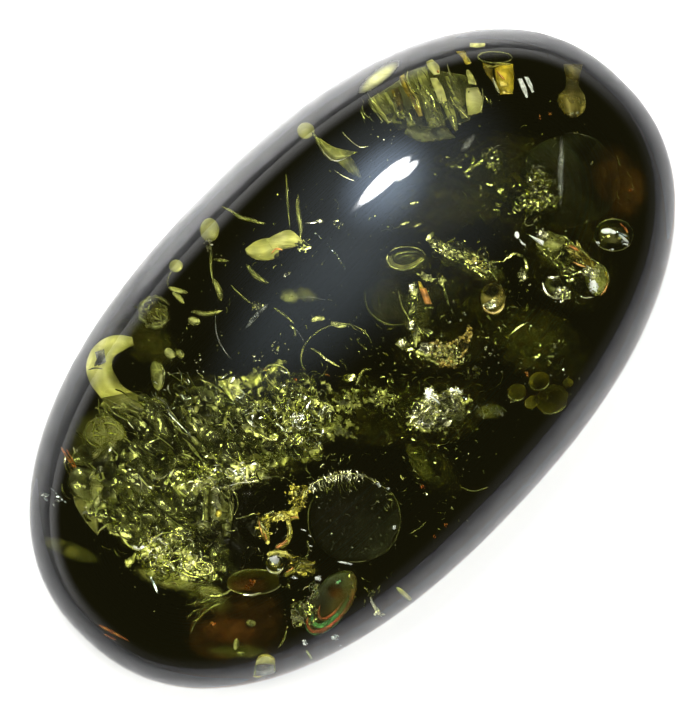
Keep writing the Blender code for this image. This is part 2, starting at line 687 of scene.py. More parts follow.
def scatter_blades(cluster, rng, middle, reach, turn, count, length, slim, depth, lean, flow, spread):
    """Slivers scattered over an oval. Length and depth are (least, most), slim is width over length."""
    angle = rng.uniform(0, 2 * math.pi, count)
    out = np.sqrt(rng.uniform(0, 1, count)) * rng.uniform(0.75, 1.1, count)
    places = turned(middle, turn, np.cos(angle) * out * reach[0], np.sin(angle) * out * reach[1])
    size = length[0] + (length[1] - length[0]) * rng.uniform(0, 1, count) ** 2
    if flow is None:
        ways = rng.uniform(0, math.pi, count)
    else:
        ways = math.radians(-flow) + rng.normal(0, spread, count)
    add_blades(
        cluster, rng, places, rng.uniform(depth[0], depth[1], count), size,
        size * rng.uniform(slim[0], slim[1], count), ways,
        rng.normal(0, lean, count), rng.normal(0, lean, count), rng.normal(0, 0.25, count),
        rng.normal(0, 0.25, count), rng.uniform(0.1, 0.4, count),
    )


def swells(rng, wavelengths, slope):
    """The relief of a soft film: smooth waves that run many ways."""
    parts = [(wavelength, waves(rng, wavelength)) for wavelength in wavelengths]

    def field(x, y):
        return sum(slope * wavelength / 6 * part(x, y) for wavelength, part in parts)

    return field


SHEET_THICKNESS = 0.4


def add_sheet(
    cluster, rng, middle, reach, turn, depth, slope, wavelengths, rag, holes, step, form, soft=False,
):
    """A crumpled flake: an oval of facets with a ragged edge and tears, closed with a thin back.

    A soft one thins out to nothing at its edge.
    """
    relief = form(rng, wavelengths, slope)
    glow = waves(rng, 16)
    edge = waves(rng, max(reach) * 0.6)
    tear = waves(rng, max(reach) * 0.35)
    columns = int(2 * reach[0] * 1.3 / step) + 2
    lines = int(2 * reach[1] * 1.3 / step) + 2
    u, v = np.meshgrid((np.arange(columns) - columns / 2) * step, (np.arange(lines) - lines / 2) * step)
    u = u + rng.uniform(-0.35, 0.35, u.shape) * step
    v = v + rng.uniform(-0.35, 0.35, v.shape) * step
    height = relief(u, v)
    height = height - height.mean()
    out = (u / reach[0]) ** 2 + (v / reach[1]) ** 2
    top = raised(turned(middle, turn, u, v), depth + height).reshape(-1, 3)
    bottom = top + np.array((0.0, 0.0, SHEET_THICKNESS))
    here = (u[:-1, :-1] + u[1:, 1:]) / 2
    there = (v[:-1, :-1] + v[1:, 1:]) / 2
    spread = (here / reach[0]) ** 2 + (there / reach[1]) ** 2
    kept = (spread < (1 + rag * edge(here, there)) ** 2) & (tear(here, there) > -1.6 * (1 - holes))
    shade = np.clip(0.55 + 0.5 * glow(u, v), 0.12, 1.0)
    if soft:
        shade = np.clip(1 - out, 0, 1) ** 1.6 * np.clip(0.95 + 0.3 * glow(u, v), 0.3, 1.25)
    add_slab(cluster, top, bottom, kept, lines, columns, shade.ravel())


# The four sides of a grid's cell: the step to the cell beyond it, in rows and columns, and the side's corners
CELL_SIDES = ((-1, 0, 0, 1), (0, 1, 1, 2), (1, 0, 2, 3), (0, -1, 3, 0))


def add_slab(cluster, top, bottom, kept, lines, columns, shade):
    """Two copies of a grid's kept cells, joined round every edge that only one cell has."""
    row, column = np.nonzero(kept)
    if not len(row):
        return
    a = row * columns + column
    cells = np.stack([a, a + 1, a + columns + 1, a + columns], axis=-1)
    size = lines * columns
    sides = []
    for shift_row, shift_column, first, second in CELL_SIDES:
        beside_row = row + shift_row
        beside_column = column + shift_column
        within = (beside_row >= 0) & (beside_row < lines - 1)
        within &= (beside_column >= 0) & (beside_column < columns - 1)
        full = np.zeros(len(row), dtype=bool)
        full[within] = kept[beside_row[within], beside_column[within]]
        edge = cells[~full]
        near, far = edge[:, second], edge[:, first]
        sides.append(np.stack([near, far, far + size, near + size], axis=-1))
    faces = np.concatenate([cells, cells[:, ::-1] + size, *sides])
    used, renamed = np.unique(faces, return_inverse=True)
    points = np.concatenate([top, bottom])[used]
    cluster.add(points, renamed.reshape(faces.shape), (), np.concatenate([shade, shade])[used])


PLATE_STEPS = 14
PLATE_THICKNESS = np.array((0.0, 0.0, 0.5))


def add_plate(cluster, rng, corners, depth, shades, slope, bow):
    """A smooth flake between four drawn corners, bowed a little.

    The shades are those at the first side and at the last: a painted gradient of light and shade across the
    flake.
    """
    a, b, c, d = (np.array(corner, dtype=float)[:, None, None] for corner in corners)
    u, v = np.meshgrid(np.linspace(0, 1, PLATE_STEPS), np.linspace(0, 1, PLATE_STEPS))
    x, y = a * (1 - u) * (1 - v) + b * u * (1 - v) + c * u * v + d * (1 - u) * v
    size = np.hypot(*(c - a)[:, 0, 0])
    relief = swells(rng, (size * 0.5, size * 0.25), slope)
    level = depth + relief(x, y) + bow * size * 0.25 * (
        (2 * u - 1) ** 2 + rng.uniform(-0.5, 0.5) * (2 * v - 1)
    )
    top = np.stack([x, y, level], axis=-1).reshape(-1, 3)
    glow = waves(rng, max(size * 0.4, 4))
    # painted light and shade: the colour runs from the first shade to the last
    shade = (shades[0] * (1 - v) + shades[1] * v) * np.clip(0.8 + 0.35 * glow(x, y), 0.25, 1.25)
    kept = np.ones((PLATE_STEPS - 1, PLATE_STEPS - 1), dtype=bool)
    add_slab(cluster, top, top + PLATE_THICKNESS, kept, PLATE_STEPS, PLATE_STEPS, shade.ravel())


STRIP_STEPS = 30


def add_strip(cluster, rng, left, right, depth, shades, slope, bow):
    """A smooth flake between two drawn sides that run the same way.

    The shades are those at the first end and at the last: a painted gradient of light and shade along the
    flake.
    """
    sides = [smooth_path(side, STRIP_STEPS)[:, None] for side in (left, right)]
    across = np.linspace(0, 1, PLATE_STEPS)[None, :]
    along = np.linspace(0, 1, STRIP_STEPS)[:, None]
    plan = sides[0] * (1 - across[..., None]) + sides[1] * across[..., None]
    width = np.linalg.norm(sides[0] - sides[1], axis=-1)
    relief = swells(rng, (max(width.max() * 1.5, 6), max(width.max() * 0.7, 3)), slope)
    glow = waves(rng, max(width.max(), 5))
    x, y = plan[..., 0], plan[..., 1]
    level = depth + relief(x, y) + bow * width * (2 * across - 1) ** 2
    top = raised(plan, level).reshape(-1, 3)
    # painted light and shade: the colour runs from the first shade to the last
    shade = (shades[0] * (1 - along) + shades[1] * along) * np.clip(0.85 + 0.25 * glow(x, y), 0.3, 1.2)
    kept = np.ones((STRIP_STEPS - 1, PLATE_STEPS - 1), dtype=bool)
    add_slab(cluster, top, top + PLATE_THICKNESS, kept, STRIP_STEPS, PLATE_STEPS, shade.ravel())


def tube_faces(rings, sides):
    """The faces between rings of points, with this many points in each ring."""
    quads = []
    for ring in range(rings - 1):
        for side in range(sides):
            near = ring * sides + side
            far = ring * sides + (side + 1) % sides
            quads.append((near, far, far + sides, near + sides))
    return quads


def smooth_path(points, count):
    """Points along a curve through the given ones."""
    points = np.asarray(points, dtype=float)
    padded = np.concatenate([2 * points[:1] - points[1:2], points, 2 * points[-1:] - points[-2:-1]])
    spans = len(points) - 1
    place = np.linspace(0, spans, count)
    span = np.minimum(place.astype(int), spans - 1)
    t = (place - span)[:, None]
    a, b, c, d = (padded[span + i] for i in range(4))
    return 0.5 * (
        2 * b + (c - a) * t + (2 * a - 5 * b + 4 * c - d) * t ** 2 + (3 * b - a - 3 * c + d) * t ** 3
    )


STRAND_FADE = 0.45


def add_strand(cluster, rng, points, width, depth, flat=1.0, sides=6, count=None, wobble=0.0):
    """A thread or ribbon through points of the photograph.

    Width is its half width, and flat its thickness over its width.
    """
    points = [(*p, depth) if len(p) == 2 else p for p in points]
    gaps = np.linalg.norm(np.diff(np.array(points, dtype=float)[:, :2], axis=0), axis=1).sum()
    count = count or max(6, int(gaps / max(1.2, width)) + 2)
    path = smooth_path(points, count)
    if wobble:
        path[:, :2] += rng.normal(0, wobble, (count, 2))
        path[:, 2] += rng.normal(0, wobble, count)
    way = np.gradient(path, axis=0)
    way /= np.linalg.norm(way, axis=1, keepdims=True)
    across = np.cross(way, (0.0, 0.0, 1.0))
    across /= np.linalg.norm(across, axis=1, keepdims=True)
    up = np.cross(across, way)
    step = np.linspace(-1, 1, count)
    size = width * np.sqrt(np.clip(1 - step ** 2, 0.02, 1))
    size = size * (1 + 0.25 * rng.uniform(-1, 1, count) * (wobble > 0))
    rings = []
    for side in range(sides):
        angle = 2 * math.pi * side / sides
        sideways = across * (size * math.cos(angle))[:, None]
        upwards = up * (size * flat * math.sin(angle))[:, None]
        rings.append(path + sideways + upwards)
    tube = np.stack(rings, axis=1).reshape(-1, 3)
    quads = tube_faces(count, sides)
    ends = np.stack([path[0], path[-1]])
    along = 1 - STRAND_FADE * (0.5 + 0.5 * np.sin(step * rng.uniform(2, 5) + rng.uniform(0, 6)))
    # painted light: one side of the thread is lighter and the opposite side darker
    painted_lit_side = 2 * math.pi * np.arange(sides) / sides + rng.choice((0, math.pi))
    painted_lit_side = 1 - STRAND_FADE * (0.5 + 0.5 * np.cos(painted_lit_side))
    shade = np.concatenate([np.outer(along, painted_lit_side).ravel(), along[[0, -1]]])
    last = (count - 1) * sides
    triangles = [(len(tube), (j + 1) % sides, j) for j in range(sides)]
    triangles += [(len(tube) + 1, last + j, last + (j + 1) % sides) for j in range(sides)]
    cluster.add(np.concatenate([tube, ends]), quads, triangles, shade)


def add_disc(
    cluster, rng, middle, reach, turn, depth, bulge, lean, ripple, spokes=48, rings=8, rag=0.03, gain=1.0,
):
    """A spangle: a thin lens-shaped disc, leaning by the two slopes, with radial ripples."""
    edge = waves(rng, 1.2)
    angles = np.radians(np.linspace(0, 360, spokes, endpoint=False))
    layers = []
    shades = []
    painted_bright_side = rng.uniform(0, 2 * math.pi)
    for face in (-1, 1):
        for ring in range(rings + 1):
            out = ring / rings
            reach_here = out * (1 + rag * edge(np.cos(angles) * 2, np.sin(angles) * 2))
            u, v = reach[0] * reach_here * np.cos(angles), reach[1] * reach_here * np.sin(angles)
            swell = bulge * min(reach) * (1 - out ** 2) * face * 0.5
            bump = ripple * min(reach) * out * np.sin(angles * 23 + 3 * edge(np.cos(angles), np.sin(angles)))
            level = depth + lean[0] * u + lean[1] * v + swell + bump
            layers.append(raised(turned(middle, turn, u, v), level))
            # painted light: the colour is lighter towards the rim and on one side of the disc
            shades.append(gain * (0.35 + 0.65 * out ** 3) * (0.6 + 0.4 * np.cos(angles - painted_bright_side)))
    size = len(angles)
    quads = []
    for face in (0, 1):
        base = face * (rings + 1)
        for ring in range(rings):
            for i in range(size):
                j = (i + 1) % size
                low, high = (base + ring) * size, (base + ring + 1) * size
                quads.append((low + i, low + j, high + j, high + i))
    cluster.add(np.concatenate(layers), quads, (), np.concatenate(shades))


def add_ball(cluster, middle, radius, depth, squash=1.0, turn=0.0, spokes=28, rings=16):
    """A bubble: a closed ball, or an egg where radius is a pair."""
    reach = (radius, radius) if np.isscalar(radius) else radius
    side = math.radians(-turn)
    points = []
    for ring in range(rings + 1):
        lift = math.pi * ring / rings
        for spoke in range(spokes):
            angle = 2 * math.pi * spoke / spokes
            u = reach[0] * math.sin(lift) * math.cos(angle)
            v = reach[1] * math.sin(lift) * math.sin(angle)
            points.append((
                middle[0] + u * math.cos(side) - v * math.sin(side),
                middle[1] + u * math.sin(side) + v * math.cos(side),
                depth - min(reach) * squash * math.cos(lift),
            ))
    quads = tube_faces(rings + 1, spokes)
    cluster.add(points, quads)


CRUMB = np.array([
    (0, 0, 1), (0.9, 0, 0.3), (0.1, 0.9, 0.2), (-0.8, 0.2, 0.3), (0, -0.9, 0.1),
    (0.6, 0.5, -0.4), (-0.6, 0.6, -0.3), (-0.5, -0.6, -0.4), (0.6, -0.5, -0.3), (0, 0, -1),
])
CRUMB_FACES = [
    (0, 1, 2), (0, 2, 3), (0, 3, 4), (0, 4, 1), (1, 5, 2), (2, 6, 3), (3, 7, 4), (4, 8, 1),
    (5, 6, 2), (6, 7, 3), (7, 8, 4), (8, 5, 1), (9, 6, 5), (9, 7, 6), (9, 8, 7), (9, 5, 8),
]


def add_crumbs(cluster, rng, places, depth, size):
    """Grains: small uneven lumps at the given places."""
    places = np.asarray(places, dtype=float)
    count = len(places)
    sizes = size[0] + (size[1] - size[0]) * rng.uniform(0, 1, count) ** 2
    levels = rng.uniform(depth[0], depth[1], count)
    shape = CRUMB[None] * rng.uniform(0.5, 1.2, (count, len(CRUMB), 1)) * sizes[:, None, None]
    turn = rng.uniform(0, 2 * math.pi, count)
    lean = rng.uniform(0, 2 * math.pi, count)
    x = shape[..., 0] * np.cos(turn)[:, None] - shape[..., 1] * np.sin(turn)[:, None]
    y = shape[..., 0] * np.sin(turn)[:, None] + shape[..., 1] * np.cos(turn)[:, None]
    y, z = (
        y * np.cos(lean)[:, None] - shape[..., 2] * np.sin(lean)[:, None],
        y * np.sin(lean)[:, None] + shape[..., 2] * np.cos(lean)[:, None],
    )
    points = np.stack([places[:, :1] + x, places[:, 1:] + y, levels[:, None] + z], axis=-1)
    starts = (np.arange(count) * len(CRUMB))[:, None, None]
    shade = np.repeat(rng.uniform(0.25, 1.0, count), len(CRUMB))
    cluster.add(points.reshape(-1, 3), (), (np.array(CRUMB_FACES)[None] + starts).reshape(-1, 3), shade)


def oval(rng, middle, reach, turn, count):
    """Random places over an oval of the photograph."""
    angle = rng.uniform(0, 2 * math.pi, count)
    out = np.sqrt(rng.uniform(0, 1, count))
    return turned(middle, turn, np.cos(angle) * out * reach[0], np.sin(angle) * out * reach[1])


def arc(middle, reach, turn, start, end, count=9):
    """Points along an oval from one angle round it to another, counter-clockwise in the photograph."""
    angles = np.radians(np.linspace(start, end, count))
    return turned(middle, turn, reach[0] * np.cos(angles), -reach[1] * np.sin(angles))


def pools(base, shapes):
    """Painted light over the photograph: a base level, with pools of middle, reach, turn and strength."""

    def field(x, y):
        total = np.full(np.shape(x), base, dtype=float)
        for middle, reach, turn, strength in shapes.values():
            side = math.radians(turn)
            u = ((x - middle[0]) * math.cos(side) - (y - middle[1]) * math.sin(side)) / reach[0]
            v = ((x - middle[0]) * math.sin(side) + (y - middle[1]) * math.cos(side)) / reach[1]
            # pools of positive strength paint light, and those of negative strength paint shade
            total = total + strength * np.exp(-(u ** 2 + v ** 2))
        return np.maximum(total, 0.02)

    return field


SOFT_STUFF = ("haze", "smoke", "olive", "murk", "rust", "glow")
SMOOTH_STUFF = (
    "leaf", "cream", "haze_film", "foil", "strands", "shell", "film", "gold_film", "petal", "gold_petal",
    "amber_chip", "veil", "bubble", "opal", "grey", "coin", "glint", *SOFT_STUFF,
)


CLOUD_SLOPE = 0.12
NO_TEARS = -2.0


class Region:
    """One part of the stone's inside, with its own random numbers and one piece for each material in it."""

    def __init__(self, name, stuff, seed, light=None):
        self.name = name
        # light, where given, is a painted light field that scales the colour of every shape here
        self.light = light
        self.stuff = stuff
        self.rng = np.random.default_rng(seed)
        self.clusters = {}

    def cluster(self, material):
        if material not in self.clusters:
            name = f"{self.name}_{material}"
            smooth = material in SMOOTH_STUFF
            self.clusters[material] = Cluster(name, self.stuff[material], smooth, self.light)
        return self.clusters[material]

    def threads(self, material, depth, shapes, flat=1.0, wobble=0.0):
        """Threads and ribbons: half width, then the points of the path."""
        for width, *path in shapes.values():
            add_strand(self.cluster(material), self.rng, path, width, depth, flat, wobble=wobble)

    def arcs(self, material, depth, shapes, flat=1.0, wobble=0.0):
        """Rims: half width, middle, reach, turn, first and last angle."""
        for width, middle, reach, turn, start, end in shapes.values():
            count = max(7, int(abs(end - start) / 12))
            path = [tuple(point) for point in arc(middle, reach, turn, start, end, count)]
            add_strand(self.cluster(material), self.rng, path, width, depth, flat, wobble=wobble)

    def leaves(self, material, depth, shapes, flat=0.18):
        """Pointed leaves: middle, half length, half width and turn."""
        for middle, length, width, turn in shapes.values():
            bend = width * self.rng.uniform(-0.5, 0.5)
            lean = length * self.rng.uniform(-0.3, 0.3)
            plan = turned(middle, turn, np.array((-length, 0.0, length)), np.array((0.0, bend, 0.0)))
            path = [(*point, depth + lean * step) for point, step in zip(plan, (-1, 0, 1))]
            add_strand(self.cluster(material), self.rng, path, width, depth, flat, 8, 14)

    def discs(self, material, shapes, bulge=0.15, ripple=0.0, rag=0.03):
        """Spangles: middle, reach, turn, depth and the two slopes."""
        for middle, reach, turn, depth, lean in shapes.values():
            add_disc(
                self.cluster(material), self.rng, middle, reach, turn, depth, bulge, lean, ripple, rag=rag,
            )

    def balls(self, material, depth, shapes, squash=1.0):
        """Bubbles: middle, and a radius or a pair of them with a turn."""
        for middle, radius, turn in shapes.values():
            add_ball(self.cluster(material), middle, radius, depth, squash, turn)

    def sheets(self, material, shapes, wavelengths=(26, 14, 8), rag=0.35, holes=0.42, step=2.4, form=folds):
        """Crumpled flakes: middle, reach, turn, depth and slope."""
        for middle, reach, turn, depth, slope in shapes.values():
            add_sheet(
                self.cluster(material), self.rng, middle, reach, turn, depth, slope, wavelengths, rag, holes,
                step, form,
            )

    def patches(self, material, shapes, step=2.6):
        """Soft clouds with no edge: middle, reach, turn and depth."""
        for middle, reach, turn, depth in shapes.values():
            wavelengths = (reach[0] * 0.9, reach[0] * 0.4)
            add_sheet(
                self.cluster(material), self.rng, middle, reach, turn, depth, CLOUD_SLOPE, wavelengths, 0.0,
                NO_TEARS, step, swells, soft=True,
            )

    def blades(self, material, shapes, slim=(0.12, 0.5), lean=0.4, spread=0.7):
        """Slivers over an oval: middle, reach, turn, count, half lengths, depths and the way they run."""
        for middle, reach, turn, count, length, depth, flow in shapes.values():
            scatter_blades(
                self.cluster(material), self.rng, middle, reach, turn, count, length, slim, depth, lean, flow,
                spread,
            )

    def shells(self, material, shapes, flow, stretch=(1.0, 2.2), stray=25):
        """Small curved flakes over an oval: middle, reach, turn, count, radii and depths."""
        for middle, reach, turn, count, radii, depth in shapes.values():
            for place in oval(self.rng, middle, reach, turn, count):
                radius = radii[0] + (radii[1] - radii[0]) * self.rng.uniform(0, 1) ** 2
                add_disc(
                    self.cluster(material), self.rng, place, (radius * self.rng.uniform(*stretch), radius),
                    self.rng.normal(flow, stray), self.rng.uniform(*depth), self.rng.uniform(0.2, 0.7),
                    tuple(self.rng.normal(0, 0.35, 2)), 0.02, 16, 4, 0.08, gain=self.rng.uniform(0.3, 1.0),
                )

    def plates(self, material, shapes, slope=0.25, bow=0.2):
        """Drawn flakes: four corners, depth, and the shades at the first side and the last."""
        for *corners, depth, first, last in shapes.values():
            add_plate(self.cluster(material), self.rng, corners, depth, (first, last), slope, bow)

    def strips(self, material, shapes, slope=0.15, bow=0.3):
        """Drawn flakes: the points of one side and of the other, depth, and the shades at the two ends."""
        for left, right, depth, first, last in shapes.values():
            add_strip(self.cluster(material), self.rng, left, right, depth, (first, last), slope, bow)

    def bits(self, material, depth, size, shapes):
        """Grains over an oval: middle, reach, turn and count."""
        for middle, reach, turn, count in shapes.values():
            places = oval(self.rng, middle, reach, turn, count)
            add_crumbs(self.cluster(material), self.rng, places, depth, size)

    def beads(self, material, depth, size, shapes):
        """Rows of grains: count, then the points of the path."""
        for count, *path in shapes.values():
            places = smooth_path(path, count) + self.rng.normal(0, size[0] * 0.4, (count, 2))
            add_crumbs(self.cluster(material), self.rng, places, depth, size)

    def curls(self, material, shapes, width=(0.35, 0.8), sweep=(50, 190), flow=None, stray=22):
        """Short curved hairs over an oval: middle, reach, turn, count, bend radii and depths.

        Flow, where given, is the way in degrees that they run, give or take the stray.
        """
        for middle, reach, turn, count, bend, depth in shapes.values():
            for place in oval(self.rng, middle, reach, turn, count):
                radius = self.rng.uniform(*bend)
                span = self.rng.uniform(*sweep)
                start = self.rng.uniform(0, 360)
                oval_reach = (radius, radius * self.rng.uniform(0.4, 1.0))
                turn_here = self.rng.uniform(0, 180)
                if flow is not None:
                    start = self.rng.choice((90, 270)) - span / 2
                    turn_here = self.rng.normal(flow, stray)
                path = arc(place, oval_reach, turn_here, start, start + span, 5)
                level = self.rng.uniform(*depth)
                rise = self.rng.normal(0, radius * 0.25)
                steps = np.linspace(-1, 1, 5)
                path = [(*point, level + rise * step) for point, step in zip(path, steps)]
                add_strand(self.cluster(material), self.rng, path, self.rng.uniform(*width), level, 0.7, 4, 9)

    def make(self):
        for cluster in self.clusters.values():
            cluster.make()


NOISE_RANGE = (0.3, 0.7)
FOLD_STRENGTH = 0.4
FOLD_HEIGHT = 0.15 * MM
GRAIN_STRENGTH = 0.2
GRAIN_HEIGHT = 0.02 * MM


def ramp(tree, source, colours):
    """A colour ramp with the colours spread evenly over the field's middle."""
    node = tree.nodes.new("ShaderNodeValToRGB")
    tree.links.new(source, node.inputs["Fac"])
    stops = node.color_ramp.elements
    while len(stops) < len(colours):
        stops.new(0.5)
    for index, colour in enumerate(colours):
        low, high = NOISE_RANGE
        stops[index].position = low + (high - low) * index / (len(colours) - 1)
        stops[index].color = (*colour, 1.0)
    return node.outputs["Color"]


def noise(tree, place, scale, detail=3.0):
    node = tree.nodes.new("ShaderNodeTexNoise")
    node.inputs["Scale"].default_value = scale
    node.inputs["Detail"].default_value = detail
    tree.links.new(place, node.inputs["Vector"])
    return node.outputs["Fac"]


def creases(tree, place, scale, width, flow, stretch):
    """Thin curly lines, as where a film is folded: their strength, 0 to 1, and the fold's height."""
    drawn = tree.nodes.new("ShaderNodeMapping")
    drawn.vector_type = "TEXTURE"
    drawn.inputs["Rotation"].default_value = (0.0, 0.0, math.radians(flow))
    drawn.inputs["Scale"].default_value = (stretch, 1.0, 1.0)
    tree.links.new(place, drawn.inputs["Vector"])
    field = tree.nodes.new("ShaderNodeTexNoise")
    field.inputs["Scale"].default_value = scale
    field.inputs["Detail"].default_value = 1.5
    field.inputs["Distortion"].default_value = 0.9
    tree.links.new(drawn.outputs["Vector"], field.inputs["Vector"])
    gap = number(tree, "ABSOLUTE", number(tree, "SUBTRACT", field.outputs["Fac"], 0.5))
    return fade_between(tree, gap, 0.0, width, 1.0, 0.0, "LINEAR"), gap


def flake_material(name, colours, metal, rough, grain, cover=None, crease=None, soft=False):
    """A flake's surface: a colour that wanders at the scale of the grain, dimmed by the shape's own shade.

    Cover, where given, is how much the thinnest and the thickest places of a see-through film hide.
    Crease is a colour added along fine fold lines as a painted highlight, then their scale and width, the way
    that they run and their stretch along it. A soft finish thins out by the shape's shade and keeps its
    colour.
    The shade holds random tone and painted light and shade.
    """
    material, tree, shader = new_nodes(name)
    place = stone_place(tree)
    attribute = tree.nodes.new("ShaderNodeAttribute")
    attribute.attribute_name = "shade"
    shade = attribute.outputs["Fac"]
    colour = ramp(tree, noise(tree, place, grain), colours)
    relief = tree.nodes.new("ShaderNodeBump")
    if crease:
        light, scale, width, flow, stretch = crease
        line, fold = creases(tree, place, scale, width, flow, stretch)
        # painted highlight: the crease colour is added to the base colour along the fold lines
        colour = vector(tree, "MULTIPLY_ADD", line, light, colour)
        relief.inputs["Strength"].default_value = FOLD_STRENGTH
        relief.inputs["Distance"].default_value = FOLD_HEIGHT
        tree.links.new(fold, relief.inputs["Height"])
    else:
        relief.inputs["Strength"].default_value = GRAIN_STRENGTH
        relief.inputs["Distance"].default_value = GRAIN_HEIGHT
        tree.links.new(noise(tree, place, grain * 4), relief.inputs["Height"])
    tree.links.new(relief.outputs["Normal"], shader.inputs["Normal"])
    # the shade attribute scales the colour: random tone with painted light and shade
    tint = tree.nodes.new("ShaderNodeVectorMath")
    tint.operation = "SCALE"
    tree.links.new(colour, tint.inputs[0])
    tree.links.new(shade, tint.inputs["Scale"])
    tree.links.new(colour if soft else tint.outputs["Vector"], shader.inputs["Base Color"])
    shader.inputs["Metallic"].default_value = metal
    shader.inputs["Specular IOR Level"].default_value = 0.0 if soft or metal < 0.1 else 0.3
    tree.links.new(spread(tree, noise(tree, place, grain * 1.7), rough), shader.inputs["Roughness"])
    if cover:
        hides = spread(tree, noise(tree, place, grain * 0.6), cover)
        if soft:
            hides = number(tree, "MULTIPLY", hides, shade)
        tree.links.new(hides, shader.inputs["Alpha"])
    return material


def spread(tree, source, limits):
    """A noise field stretched from its usual range to these limits."""
    return fade_between(tree, source, *NOISE_RANGE, *limits, "LINEAR")


